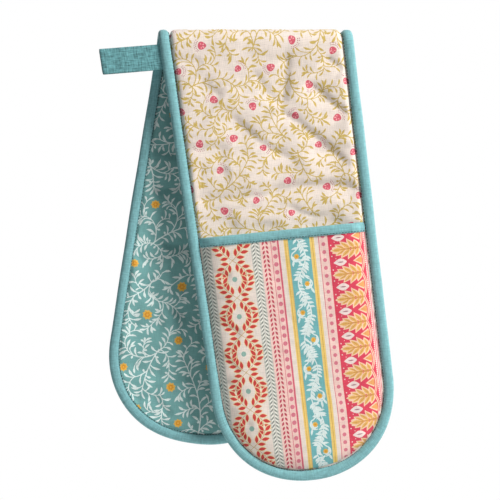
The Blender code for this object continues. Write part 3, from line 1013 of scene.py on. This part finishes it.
# The striped print, in millimetres: across the pocket from its left edge at the mouth, then into the pocket
columns = {
    "lean": 0.019,  # the cloth was cut a little askew
    "start": -8.0,
    "vineStripe": ("columnTeal", 99.7, 121.4),
    "stripes": [  # ink, then from and to
        ("creamCotton", -10, 23), ("braidGround", 11.6, 21.9), ("creamCotton", 21.9, 61.8),
        ("braidGround", 61.8, 71.2), ("palePink", 71.2, 90), ("linePink", 82.0, 82.6),
        ("linePink", 88.6, 90.4), ("creamCotton", 90.6, 95.2), ("stripeYellow", 95.2, 99.7),
        ("stripeOchre", 96.4, 97.0), ("stripeOchre", 99.0, 99.5), ("stripeYellow", 121.4, 126.0),
        ("stripeOchre", 123.6, 124.3), ("creamCotton", 126.0, 130.2), ("linePink", 130.2, 130.9),
        ("palePink", 130.9, 139.6), ("borderRed", 139.6, 176.0), ("palePink", 176.0, 200),
        ("linePink", 177.5, 178.3), ("linePink", 179.3, 180.1), ("linePink", 181.1, 181.9),
        ("linePink", 182.9, 183.7),
    ],
}

garland = {
    "middle": 42.1,
    "start": 5.2,
    "period": 37.3,
    "dot": 2.6,
    "reach": 12.9,  # of a sprig, across and along
    "rise": 16.4,
    "points": (0, 0.17, 0.3, 0.42, 0.55, 0.67, 0.79, 0.9, 1),
    "leafPoints": (1, 3, 5, 7),
    "lean": 0.78,
    "leaf": 7.9,
    "leafWidth": 3.5,
    "halo": (0.8, 1.2, 1.6),  # its start, and how much longer and wider it is than the leaf
    "leafStart": 0.4,
}


def garlandMarks(reach):
    # crossed sprigs with a dot between each two
    g, marks, d = garland, [], garland["start"]
    haloStart, longer, wider = g["halo"]
    while d < reach:
        marks.append((roundMark(g["middle"], d, g["dot"], 16), "dotGreen"))
        cross = d + g["period"] / 2
        for side in (-1, 1):
            for way in (-1, 1):
                arm = [
                    (g["middle"] + side * g["reach"] * math.sin(t * math.pi / 2), cross + way * g["rise"] * t)
                    for t in g["points"]
                ]
                marks.append((stemMark(arm, 0.55, 0.5), "leafStem"))
                for i in g["leafPoints"]:
                    (x, y), (bx, by) = arm[i], arm[i + 1]
                    heading = math.atan2(by - y, bx - x)
                    for lean in (-g["lean"], g["lean"]):
                        angle = heading + lean
                        start = ahead(x, y, angle, haloStart)
                        halo = leafMark(*start, angle, g["leaf"] + longer, g["leafWidth"] + wider)
                        marks.append((halo, "leafHalo"))
                        start = ahead(*start, angle, g["leafStart"])
                        marks.append((leafMark(*start, angle, g["leaf"], g["leafWidth"]), "leafRed"))
        d += g["period"]
    return marks


braid = {
    "middles": (16.7, 66.5),
    "start": -2.0,
    "step": 3.8,
    "aside": 0.5,
    "late": 0.8,  # the right strand is a little further on
    "lean": 0.85,
    "stroke": 4.6,
    "strokeWidth": 1.25,
    "bow": 0.08,
    "bead": (3.9, 2.6, 0.42),  # aside, further on, and its radius
}


def braidMarks(reach):
    # two strands of slanting strokes, light and dark, like a rope
    b, marks = braid, []
    beadAside, beadOn, beadRadius = b["bead"]
    for middle in b["middles"]:
        d = b["start"]
        while d < reach:
            for side in (-1, 1):
                for shift, colour in ((0, "braidLight"), (b["step"] / 2, "braidGrey")):
                    x, y = middle + side * b["aside"], d + shift + (b["late"] if side > 0 else 0)
                    angle = math.pi / 2 - side * b["lean"]
                    stroke = leafMark(x, y, angle, b["stroke"], b["strokeWidth"], side * b["bow"])
                    marks.append((stroke, colour))
                    if colour == "braidGrey":
                        bead = roundMark(middle + side * beadAside, y + beadOn, beadRadius, 6)
                        marks.append((bead, colour))
            d += b["step"]
    return marks


tick = {"middle": 76.2, "aside": 0.9, "step": 4.5, "length": 4.4, "width": 2.1, "lean": 0.5}


def tickMarks(reach):
    marks, d = [], 0.0
    while d < reach:
        for side in (-1, 1):
            x, angle = tick["middle"] + side * tick["aside"], math.pi / 2 - side * tick["lean"]
            marks.append((leafMark(x, d, angle, tick["length"], tick["width"]), "tickRed"))
        d += tick["step"]
    return marks


dotRow = {"middles": (85.6, 135.0), "starts": (1.5, 3.5), "sizes": (1, 0.88), "step": 7.9, "radius": 2.3}


def dotMarks(reach):
    marks = []
    for middle, y, size in zip(dotRow["middles"], dotRow["starts"], dotRow["sizes"]):
        while y < reach:
            marks.append((roundMark(middle, y, dotRow["radius"] * size, 12), "dotPink"))
            y += dotRow["step"]
    return marks


runningVine = {
    "middle": 110.6,
    "wide": 20.6,
    "margin": 0.9,
    "start": -7.0,
    "gap": 28.0,  # from flower to flower
    "sway": 5.0,
    "stem": 1.3,
    "taper": 0.7,
    "bloom": 2.5,
    "bloomEye": 1.1,
    "bloomAside": 3.9,
    "bloomRoom": 3.0,
    "curl": 5.2,
    "curlFrom": 13,  # it leaves the stem this far before the flower
    "curlPast": (1.0, 9),  # and passes here, aside and before it
    "curlStep": 0.26,
    "curlSteps": (-5, 9),
    "step": 2.1,
    "leaf": 6.4,
    "leafWidth": 2.5,
    "room": 1.65,
    "bow": 0.2,
}


def vineColumnMarks(reach, seed):
    # a running vine: a waving stem, a curl round the flower in every bend, and curved leaves along both
    v, dice = runningVine, random.Random(seed)

    def stemAt(d):
        return v["middle"] - v["sway"] * math.cos(math.pi * d / v["gap"])

    lines = [[(stemAt(d), d) for d in np.arange(v["start"], reach + 2, 1.0)]]
    blooms = []
    for i in range(int(reach / v["gap"]) + 2):
        side, y = (-1) ** i, i * v["gap"]
        x = v["middle"] + side * v["bloomAside"]
        blooms.append((x, y))
        root, (aside, before) = y - v["curlFrom"], v["curlPast"]
        curl = [(stemAt(root), root), (v["middle"] + side * aside, y - before)]
        for k in range(*v["curlSteps"]):
            a = v["curlStep"] * k
            curl.append((x + side * v["curl"] * math.cos(a), y + v["curl"] * math.sin(a)))
        lines.append(curl)
    marks, taken = [(stemMark(line, v["stem"], v["stem"] * v["taper"]), "vineWhite") for line in lines], []
    for line in lines:
        gone, due = 0.0, 0.0
        for (ax, ay), (bx, by) in zip(line, line[1:]):
            gone += math.hypot(bx - ax, by - ay)
            if gone < due:
                continue
            due = gone + v["step"]
            heading = math.atan2(by - ay, bx - ax)
            for side in (-1, 1):
                length = v["leaf"] * (0.8 + 0.4 * dice.random())
                angle = heading + side * (0.5 + 0.5 * dice.random())
                tip = ahead(bx, by, angle, length)
                belly = ((bx + tip[0]) / 2, (by + tip[1]) / 2)
                crowded = any(math.dist(tip, other) < v["room"] for other in taken)
                near = any(
                    math.dist(place, bloom) < v["bloomRoom"] for place in (tip, belly) for bloom in blooms
                )
                if crowded or near or abs(tip[0] - v["middle"]) > v["wide"] / 2 - v["margin"]:
                    continue
                taken += [tip, belly]
                marks.append((leafMark(bx, by, angle, length, v["leafWidth"], side * v["bow"]), "vineWhite"))
    for x, y in blooms:
        marks.append((roundMark(x, y, v["bloom"], 24, 1.0, 6, 0.12), "flowerYellow"))
        marks.append((roundMark(x, y, v["bloomEye"], 8), "flowerOrange"))
    return marks


palm = {
    "root": 170.6,
    "period": 24.5,
    "start": 2.5,
    # from the tip to the root: place, lean, length and width of each pair of lobes
    "lobes": (
        (18.6, 0.45, 8.4, 3.5), (14.2, 0.64, 10.6, 3.9), (9.4, 0.84, 11.8, 4.1), (4.6, 1.06, 11.6, 4.1),
        (0.8, 1.32, 8.4, 3.8),
    ),
    "tip": (17.2, 11.4, 4.4),
    "bow": 0.14,
    "spine": 19,
    "cord": ((1.7, "palmLight", 2.4), (1.8, "borderRed", 0.7)),  # place, ink and thickness
    "cordIn": 1.2,
    "scallop": 3.6,
    "fans": ((0.92, "palmLight"), (0.66, "fanOrange")),
    "fanForm": (8.6, 0.5, 1.6, 5.6),  # length, shift, round end and half width
    "fanRays": (-1.2, -0.6, 0, 0.6, 1.2),
    "bud": (14.0, 13.4, 7.4),  # place, length and width
    "budLine": (17.0, 6.4, 1.3),
    "budDots": (-2, -1, 1, 2),
    "budDotForm": (14, 2.2, 2.4, 0.45),  # place, step across and along, radius
    "rim": (1.1, 1.6),  # how much longer and wider than a lobe
    "blade": 0.5,  # how much smaller than a lobe
    "vein": (1.2, 3, 0.9),  # start, how much shorter than a lobe, width
    "tipDots": ((142.2, 5.5, 0.7, 7), (146.0, 8.2, 0.5, 6)),  # place, from the spine, radius and sides
    "edgeDots": (176.4, 0.5, 2.1),  # place, radius and step
}


def palmMarks(reach):
    # palm leaves that point across the border, a bud and a fan between each two, tied by a scalloped cord
    p, marks, d = palm, [], palm["start"] - palm["period"]
    root, period = p["root"], p["period"]
    fanLength, fanShift, fanRound, fanHalf = p["fanForm"]
    dotPlace, dotAcross, dotAlong, dotRadius = p["budDotForm"]
    (rimLonger, rimWider), less, (veinStart, veinShorter, veinWidth) = p["rim"], p["blade"], p["vein"]
    while d < reach:
        for shift, colour, thick in p["cord"]:
            cord = [
                (root + shift - p["cordIn"] + p["scallop"] * math.sin(math.pi * t / 10), d + period * t / 10)
                for t in range(11)
            ]
            marks.append((stemMark(cord, thick, thick), colour))
        between = d + period / 2
        for size, colour in p["fans"]:
            fan = [(root - fanLength * size + fanShift, between)]
            for a in p["fanRays"]:
                across = root + fanShift + fanRound * math.cos(a)
                fan.append((across, between + fanHalf * size * math.sin(a)))
            marks.append((fan, colour))
        for k in p["budDots"]:
            x, y = root - dotPlace + dotAcross * abs(k), between + k * dotAlong
            marks.append((roundMark(x, y, dotRadius, 6), "budCream"))
        for form, steps, colour in ((p["bud"], 8, "budCream"), (p["budLine"], 4, "budLine")):
            place, length, width = form
            marks.append((leafMark(root - place, between, math.pi, length, width, 0, steps), colour))
        lobes = [
            (root - at, math.pi - side * lean, length, width, side * p["bow"])
            for at, lean, length, width in p["lobes"] for side in (-1, 1)
        ]
        at, length, width = p["tip"]
        lobes.append((root - at, math.pi, length, width, 0))
        for x, angle, length, width, bow in lobes:
            # a pale rim, the gold blade and its vein
            marks.append((leafMark(x, d, angle, length + rimLonger, width + rimWider, bow, 7), "palmLight"))
            marks.append((leafMark(x, d, angle, length - less, width - less, bow, 7), "palmGold"))
            start = ahead(x, d, angle, veinStart)
            marks.append((leafMark(*start, angle, length - veinShorter, veinWidth, bow, 4), "palmOrange"))
        spine = [(root - p["spine"] * t, d) for t in (0, 0.5, 1)]
        marks.append((stemMark(spine, 2.0, 1.0), "palmOrange"))
        for k in (-1, 1):
            for x, off, radius, sides in p["tipDots"]:
                marks.append((roundMark(x, d + k * off, radius, sides), "budCream"))
        d += period
    x, radius, step = p["edgeDots"]
    d = 0.0
    while d < reach:
        marks.append((roundMark(x, d, radius, 6), "borderRed"))
        d += step
    return marks


def stripedPrint(half, reach, seed):
    # drawn in millimetres from the mouth's left end, then laid on the band
    reach, start = reach / mm, columns["start"]
    name, a, b = columns["vineStripe"]
    marks = [(boxMark(a, b, start, reach), name), *vineColumnMarks(reach, seed)]
    marks += [(boxMark(a, b, start, reach), name) for name, a, b in columns["stripes"]]
    for drawn in (garlandMarks, braidMarks, tickMarks, dotMarks, palmMarks):
        marks += drawn(reach)

    def laid(x, d):
        return -band["halfWidth"] + (x - columns["lean"] * d) * mm, mouths[half] + ways[half] * d * mm

    return [([laid(x, d) for x, d in points], ink[name]) for points, name in marks]


def splitAtMiddle(obj, points, names):
    # a sheet as two pieces that meet on the pocket's middle line
    mesh, halves = obj.data, []
    normals = {
        v: mesh.corner_normals[corner].vector.copy()
        for p in mesh.polygons for v, corner in zip(p.vertices, p.loop_indices)
    }
    for side, name in names.items():
        kept = [p for p in mesh.polygons if side * sum(points[v][0] for v in p.vertices) > 0]
        corners = sorted({v for p in kept for v in p.vertices})
        order = {v: i for i, v in enumerate(corners)}
        halves.append(meshFrom(
            name, [mesh.vertices[v].co for v in corners], [[order[v] for v in p.vertices] for p in kept],
            list(mesh.materials), [p.material_index for p in kept],
            [points[v] for v in corners], [normals[v] for v in corners],
        ))
    bpy.data.objects.remove(obj)
    return halves


def hingePocket(pieces, half):
    # bakes each piece's place into its mesh; the pocket's middle line and outward direction are worked out
    # but not used
    sign = ways[half]
    centre = frontCentre if sign < 0 else backCentre
    middle = spot(0, centre)
    line = (spot(0, centre - sign * 50 * mm) - middle).normalized()
    outward = Vector((1, 0, 0)) - line * line.x
    outward.normalize()
    for piece, side in pieces:
        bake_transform(piece)


def halfNames(name):
    return {-1: name + "_left", 1: name + "_right"}


for half, sign in ways.items():
    far = wholeSpan[0] if sign < 0 else wholeSpan[1]
    edge = mouths[half] + sign * pocket["start"]
    y0, y1 = sorted((edge, far))
    outline = [(x, y + band["mouthLean"] * x * (y == edge)) for x, y in bandOutline(sheets["rim"], y0, y1)]
    middleCut = [((0, y0 - 1 * mm), (0, y1 + 1 * mm))]
    cloth, points = printedSheet(
        half + "_pocket_cloth", outline, ink["creamCotton"],
        stripedPrint(half, band["pocketLength"] + pocket["hem"], 41), pocketHeight,
        grid=pocket["grid"], cuts=middleCut, rings=seamRings(y0, y1),
    )
    print(half, "pocket cloth:", len(cloth.data.polygons), "faces")
    clothHalves = splitAtMiddle(cloth, points, halfNames(half + "_pocket_cloth"))
    lining, points = printedSheet(
        half + "_pocket_lining", outline, ink["creamCotton"], [], pocketLiningHeight, side=-1, cuts=middleCut,
    )
    liningHalves = splitAtMiddle(lining, points, halfNames(half + "_pocket_lining"))
    hingePocket(zip(clothHalves, (-1, 1)), half)
    hingePocket(zip(liningHalves, (-1, 1)), half)
    for piece in clothHalves:
        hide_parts(half + "_pocket_cloth", half + "_pocket_wadding")
    for piece in liningHalves:
        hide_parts(half + "_pocket_lining")
print("pockets made")


# Bias tape

tapeShape = {
    # its section, in millimetres: inset from the band's outline, then height over the lining
    "section": [
        (9.9, 2.6), (10.1, 3.6), (10.1, 4.6), (9.8, 5.5), (9.2, 6.1), (8.5, 6.9), (7.4, 7.5), (5.8, 7.75),
        (4.0, 7.7), (2.3, 7.3), (1.0, 6.3), (0.25, 4.8), (0.0, 2.8), (0.25, 0.8), (1.0, -0.7), (2.3, -1.7),
        (4.0, -2.2), (5.8, -2.35), (7.4, -2.2), (8.5, -1.8), (9.3, -1.35), (9.9, -0.9), (10.0, 0.2),
    ],
    "middleHeight": 2.4,  # the section's upper side is above it
    "step": 2.4 * mm,
    "ripple": 0.16 * mm,
    "rippleSize": 11 * mm,
    "fineSize": 4.5 * mm,
    "drift": 0.25 * mm,  # how far its inner edge wanders
    "driftSize": 90 * mm,
    "driftFrom": 8,  # inset of the inner edge
    "seamInset": 10.25 * mm,
    "topSeam": 4.7 * mm,
    "underSeam": -1.3 * mm,
}


def ringPoint(run):
    # a point on the band's outline at a length along it, with the direction that points outwards
    radius = band["halfWidth"]
    straight, bend = backCentre - frontCentre, math.pi * radius
    run = run % (2 * (straight + bend))
    if run < straight:
        return radius, frontCentre + run, 1, 0
    run -= straight
    if run < bend:
        a = run / radius
        return radius * math.cos(a), backCentre + radius * math.sin(a), math.cos(a), math.sin(a)
    run -= bend
    if run < straight:
        return -radius, backCentre - run, -1, 0
    a = math.pi + (run - straight) / radius
    return radius * math.cos(a), frontCentre + radius * math.sin(a), math.cos(a), math.sin(a)


ringLength = 2 * (backCentre - frontCentre) + fullTurn * band["halfWidth"]


def tubeMesh(name, rows, flatRows, material, closedAlong=True):
    # a grid of places as one smooth mesh
    count, width = len(rows), len(rows[0])
    places = np.array([p for row in rows for p in row])
    flat = np.array([p for row in flatRows for p in row])
    faces = []
    for i in range(count if closedAlong else count - 1):
        here, beyond = i * width, (i + 1) % count * width
        faces += [(here + j, here + j + 1, beyond + j + 1, beyond + j) for j in range(width - 1)]
    return meshFrom(name, places, faces, [material], None, flat)


def edgeBinding():
    shape, section = tapeShape, tapeShape["section"]
    count = int(ringLength / shape["step"])
    rows, flats = [], []
    for i in range(count):
        run = ringLength * i / count
        x, y, ox, oy = ringPoint(run)
        curved = 1 if not (frontCentre < y < backCentre) else 0
        drift = shape["drift"] * waveAt(run, 0.0, shape["driftSize"], 53, 4)
        row, flatRow, around = [], [], 0
        # ripples run askew over the tape, stronger round the ends, and die out towards its inner edges
        for k, (inset, height) in enumerate(section):
            out = math.sin(math.pi * k / (len(section) - 1))
            wobble = waveAt(run + inset * 0.8 * mm, height * mm, shape["rippleSize"], 51)
            fine = waveAt(run + inset * 0.5 * mm, 0.0, shape["fineSize"], 52)
            push = shape["ripple"] * (wobble + (0.5 + 0.6 * curved) * fine) * (0.35 + 0.65 * out)
            lift = push if height > shape["middleHeight"] else -push
            deep = inset * mm + (drift if inset > shape["driftFrom"] else 0) - drift * out
            row.append((x - ox * deep, y - oy * deep, height * mm + (lift if inset > 0.5 else 0)))
            flatRow.append((run, around))
            if k + 1 < len(section):
                nextInset, nextHeight = section[k + 1]
                around += math.hypot(nextInset - inset, nextHeight - height) * mm
        rows.append(hangUp(row))
        flats.append(flatRow)
    return tubeMesh("edge_binding", rows, flats, tape)


binding = edgeBinding()
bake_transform(binding)
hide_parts("front_edge_binding", "back_edge_binding", "fold_left_binding", "fold_right_binding")
print("edge binding:", len(binding.data.polygons), "faces")


# Stitches

stitch = {
    "pitch": 3.1 * mm,
    "length": 2.35 * mm,
    "radius": 0.42 * mm,
    "rings": (0, 0.18, 0.5, 0.82, 1),
    "sides": 6,
    "tip": 0.35,  # radius of its ends, against its middle
    "sink": 0.12 * mm,  # how far its ends go into the tape
}


def stitchRow(name, centres):
    # each stitch is a small tapered capsule; centres holds (x, y, z, heading) in the flat band
    places, flat, faces = [], [], []
    rings, sides = len(stitch["rings"]), stitch["sides"]
    for x, y, z, heading in centres:
        base = len(places)
        dx, dy = math.cos(heading), math.sin(heading)
        for ring in stitch["rings"]:
            along = (ring - 0.5) * stitch["length"]
            swell = math.sin(math.pi * ring)
            radius = stitch["radius"] * (stitch["tip"] + (1 - stitch["tip"]) * swell)
            sink = -stitch["sink"] * (1 - swell)
            for s in range(sides):
                a = fullTurn * s / sides
                off, up = radius * math.cos(a), radius * math.sin(a)
                places.append((x + dx * along - dy * off, y + dy * along + dx * off, z + up + sink))
                flat.append((along + x, off + y))
        for r in range(rings - 1):
            for s in range(sides):
                a, b = base + r * sides + s, base + r * sides + (s + 1) % sides
                faces.append((a, a + sides, b + sides, b))
        faces.append([base + s for s in range(sides)])
        faces.append([base + (rings - 1) * sides + s for s in range(sides)][::-1])
    # the stitches' dark thread is partly painted shade: it draws the shadow along the seams
    return meshFrom(name, hangUp(places), faces, [threadAndSeamShade], None, np.array(flat))


def edgeStitches(name, height):
    centres, inset = [], tapeShape["seamInset"]
    count = int(ringLength / stitch["pitch"])
    for i in range(count):
        x, y, ox, oy = ringPoint(ringLength * i / count)
        centres.append((x - ox * inset, y - oy * inset, height, math.atan2(ox, -oy)))
    return stitchRow(name, centres)


for face, height in (("outer", tapeShape["topSeam"]), ("inner", tapeShape["underSeam"])):
    seam = edgeStitches("edge_seam_" + face, height)
    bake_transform(seam)
    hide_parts(*[f"{place}_{face}_seam" for place in ("front", "back", "fold_left", "fold_right")])
print("edge stitches made")


# Pocket mouths

mouthTape = {
    # its section, in millimetres: from the mouth's edge into the pocket, then height over the pocket's cloth
    "over": [
        (9.7, -0.2), (9.7, 0.6), (9.0, 0.95), (8.4, 0.8), (7.6, 1.25), (5.8, 1.6), (3.5, 1.5), (1.6, 1.0),
        (0.3, -0.1),
    ],
    "under": [
        (0.0, -1.9), (0.3, -3.2), (1.6, -4.3), (3.6, -4.7), (5.8, -4.7), (7.8, -4.5), (9.0, -4.2),
        (9.1, -3.9),
    ],
    "half": 84 * mm,
    "step": 2.4 * mm,
    "baseAt": 5 * mm,  # where the height of the pocket's cloth is taken
    "tuck": 1.5 * mm,
    "thinOver": 16 * mm,  # the mouth gets thin towards the side seams
    "thinnest": 0.12,
    "ripple": 0.8,  # against the edge binding's
    "rippleSize": 8 * mm,
    "seam": 8.6 * mm,
    "seamHeight": 1.05 * mm,
}


def mouthBase(half, x):
    place = mouths[half] + ways[half] * mouthTape["baseAt"]
    return float(pocketHeight(np.array([x]), np.array([place]))[0])


def mouthBinding(half, side):
    sign, mouth, rows, flats = ways[half], mouths[half], [], []
    ripple = tapeShape["ripple"] * mouthTape["ripple"]
    count = int(mouthTape["half"] / mouthTape["step"])
    for i in range(count + 1):
        x = side * mouthTape["half"] * i / count
        base = mouthBase(half, x)
        inset = float(insetOf(np.array([x]), np.array([mouth]))[0])
        inset = inset - crown["bindingWidth"] + mouthTape["tuck"]
        thin = min(max(inset / mouthTape["thinOver"], mouthTape["thinnest"]), 1)
        row, flatRow, around, last = [], [], 0, None
        for depth, height in mouthTape["over"] + mouthTape["under"]:
            # its underside comes up to the cloth where the pocket gets thin
            y = mouth + sign * depth * mm + band["mouthLean"] * x
            up = height * mm if height > -0.5 else (height * thin + 0.2 * (1 - thin)) * mm
            fine = waveAt(x + depth * 0.5 * mm, depth * mm, mouthTape["rippleSize"], 61)
            row.append((x, y, base + up + ripple * fine * (1 if height > 0.4 else 0)))
            flatRow.append((x, around))
            if last:
                around += math.hypot(depth - last[0], height - last[1]) * mm
            last = (depth, height)
        rows.append(hangUp(row))
        flats.append(flatRow)
    if side * sign > 0:
        rows, flats = rows[::-1], flats[::-1]
    return tubeMesh(halfNames(half + "_mouth_binding")[side], rows, flats, tape, closedAlong=False)


def mouthStitches(half, side):
    centres, x = [], stitch["pitch"] / 2
    while x < mouthTape["half"]:
        y = mouths[half] + ways[half] * mouthTape["seam"] + band["mouthLean"] * side * x
        centres.append((side * x, y, mouthBase(half, side * x) + mouthTape["seamHeight"], 0))
        x += stitch["pitch"]
    return stitchRow(halfNames(half + "_mouth_seam")[side], centres)


for half in ways:
    for side in (-1, 1):
        piece = mouthBinding(half, side)
        seam = mouthStitches(half, side)
        hingePocket([(piece, side), (seam, side)], half)
        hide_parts(half + "_mouth_binding")
        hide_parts(half + "_mouth_seam")
print("pocket mouths bound")


# Hanging loop

loop = {
    "place": 17.5 * mm,  # from the fold's middle
    "lean": 0.05,  # rise along its length
    "width": 25.5 * mm,
    "length": 60 * mm,
    "tuck": 3 * mm,
    "tape": 1.0 * mm,
    "eye": 3.2 * mm,
    "legGap": 0.2 * mm,
    "legSteps": 18,
    "eyeSteps": 8,
    "across": (-0.5, -0.47, -0.4, -0.2, 0, 0.2, 0.4, 0.47, 0.5),
    "thinFrom": 0.46,  # its edges are woven thinner
    "thin": 0.35,
    "calm": 20 * mm,  # the sewn end lies flat
    "ruffles": ((0.12 * mm, 5 * mm, 6), (0.35 * mm, 17 * mm, 5)),  # height, length and slant
    "crumple": (0.3 * mm, 6 * mm, 12 * mm),  # height, reach across and size
}


def loopLine():
    # the middle of the tape seen along the edge: out from the binding, round and back
    leg, belly = (loop["legGap"] + loop["tape"]) / 2, (loop["eye"] + loop["tape"]) / 2
    bellyAt = loop["length"] - loop["tape"] / 2 - belly
    line = []
    for i in range(loop["legSteps"] + 1):
        out = -loop["tuck"] + (bellyAt + loop["tuck"]) * (i / loop["legSteps"])
        line.append((out, leg + (belly - leg) * smooth(max(out, 0) / bellyAt)))
    for i in range(1, loop["eyeSteps"] + 1):
        a = math.pi / 2 - math.pi * i / loop["eyeSteps"]
        line.append((bellyAt + belly * math.cos(a), belly * math.sin(a)))
    return line + [(out, -up) for out, up in line[loop["legSteps"]::-1]][1:]


def loopRuffle(out, share):
    # soft waves of the tape, out from the edge and across its width
    height, across, size = loop["crumple"]
    even = sum(high * math.sin(out / length + share * slant) for high, length, slant in loop["ruffles"])
    return even + height * waveAt(out, share * across, size, 71)


def hangingLoop():
    line = [(float(out), float(up)) for out, up in loopLine()]
    rows, flats, run = [], [], 0
    middle, last = band["edgeThickness"] / 2, len(line) - 1
    for face, order in ((1, range(last + 1)), (-1, range(last, -1, -1))):
        for i in order:
            (ax, ay), (bx, by) = line[max(i - 1, 0)], line[min(i + 1, last)]
            length = math.hypot(bx - ax, by - ay)
            nx, ny = -(by - ay) / length, (bx - ax) / length
            out, up = line[i]
            row, flatRow = [], []
            for share in loop["across"]:
                thin = 1 if abs(share) < loop["thinFrom"] else loop["thin"]
                half = face * loop["tape"] / 2 * thin
                x = -band["halfWidth"] - (out + nx * half)
                y = -loop["place"] + share * loop["width"] + loop["lean"] * out
                ruffle = loopRuffle(out, share) * smooth(out / loop["calm"])
                row.append((x, y, middle + up + ny * half + ruffle))
                flatRow.append((run, share * loop["width"]))
            rows.append(hangUp(row))
            flats.append(flatRow)
            run += length / 2
    return tubeMesh("hanging_loop_tape", rows, flats, loopTape)


loopPiece = hangingLoop()
edge, place = -band["halfWidth"], -loop["place"]
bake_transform(loopPiece)
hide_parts("hanging_loop")
print("hanging loop made")


# Camera, floor and light

studio = {
    "sky": "#f4f6fa",
    "skyStrength": 0.12,
    "lampColour": "#fffdfa",
    "lamps": {  # place, what it aims at, size and watts
        "key": ((1.5, -1.2, 1.38), (0.0, 0, -0.25), 0.8, 76),
        "side": ((1.3, 0.4, 0.0), (0.0, 0, -0.25), 0.9, 8),
        "fill": ((-0.4, -1.6, -0.7), (0.0, 0, -0.3), 1.2, 2.4),
        "back": ((-0.5, 1.6, 0.5), (0.0, 0, -0.2), 1.0, 16),
    },
    "floorHalf": 1.1,
    "floorDrop": 0.75,
    "floorGrain": 40.0,
    "floorTones": (0.84, 0.9),
    "floorRoughness": 0.8,
    "lens": 100,
    "photoSide": 500,  # pixels
    "cameraBack": 12 * mm,
}


def lightUp():
    world = bpy.data.worlds.new("studio")
    bpy.context.scene.world = world
    world.use_nodes = True
    tree = world.node_tree
    tree.nodes.clear()
    # white behind the object and in what it mirrors, and a dim sky for the light that falls on it
    path = addNode(tree, "ShaderNodeLightPath")
    direct = addNode(
        tree, "ShaderNodeMath", {"operation": "MAXIMUM"},
        {0: path.outputs["Is Camera Ray"], 1: path.outputs["Is Transmission Ray"]},
    )
    whiteShare = addNode(
        tree, "ShaderNodeMath", {"operation": "MAXIMUM"},
        {0: direct.outputs[0], 1: path.outputs["Is Glossy Ray"]},
    )
    sky = addNode(
        tree, "ShaderNodeBackground", {"Color": linear(studio["sky"]), "Strength": studio["skyStrength"]}
    )
    white = addNode(tree, "ShaderNodeBackground", {"Color": (1, 1, 1, 1), "Strength": 1.0})
    mixed = addNode(
        tree, "ShaderNodeMixShader", None,
        {0: whiteShare.outputs[0], 1: sky.outputs[0], 2: white.outputs[0]},
    )
    addNode(tree, "ShaderNodeOutputWorld", None, {"Surface": mixed.outputs[0]})

    for name, (place, aim, size, watts) in studio["lamps"].items():
        lamp = bpy.data.lights.new(name, "AREA")
        lamp.size, lamp.energy, lamp.color = size, watts, linear(studio["lampColour"])[:3]
        obj = bpy.data.objects.new(name, lamp)
        obj.location = place
        obj.rotation_euler = (Vector(aim) - Vector(place)).to_track_quat("-Z", "Y").to_euler()
        bpy.context.scene.collection.objects.link(obj)


def addFloor():
    half, low = studio["floorHalf"], -studio["floorDrop"]
    mesh = bpy.data.meshes.new("floor")
    corners = [(-half, -half, low), (half, -half, low), (half, half, low), (-half, half, low)]
    mesh.from_pydata(corners, [], [(0, 1, 2, 3)])
    floor = bpy.data.objects.new("floor", mesh)
    bpy.context.scene.collection.objects.link(floor)
    # floor paint: rolled on, matt and nearly white with a faint grain
    material = bpy.data.materials.new("pale_floor_paint")
    material.use_nodes = True
    tree = material.node_tree
    shader = tree.nodes["Principled BSDF"]
    dark, light = studio["floorTones"]
    grain = addNode(tree, "ShaderNodeTexNoise", {"Scale": studio["floorGrain"], "Detail": 3.0})
    tone = addNode(
        tree, "ShaderNodeMapRange", {"To Min": dark, "To Max": light}, {"Value": grain.outputs["Fac"]}
    )
    tree.links.new(tone.outputs[0], shader.inputs["Base Color"])
    shader.inputs["Roughness"].default_value = studio["floorRoughness"]
    mesh.materials.append(material)


def addCamera():
    # straight on, so far away that the photograph's frame covers its real size on the front half
    camera = bpy.data.cameras.new("camera")
    camera.lens = studio["lens"]
    obj = bpy.data.objects.new("camera", camera)
    bpy.context.scene.collection.objects.link(obj)
    pixel, middle = band["photoPixel"], studio["photoSide"] / 2
    away = studio["photoSide"] * pixel * camera.lens / camera.sensor_width
    foldX, foldY = band["photoFold"]
    crownTop = band["foldInner"] + band["edgeThickness"] + crown["rise"] * 0.9
    obj.location = (
        (middle - foldX) * pixel, -away - studio["cameraBack"], crownTop - (middle - foldY) * pixel
    )
    obj.rotation_euler = (math.pi / 2, 0, 0)
    bpy.context.scene.camera = obj


lightUp()
addFloor()
addCamera()
bpy.context.scene.view_settings.view_transform = "Standard"
print("scene ready")
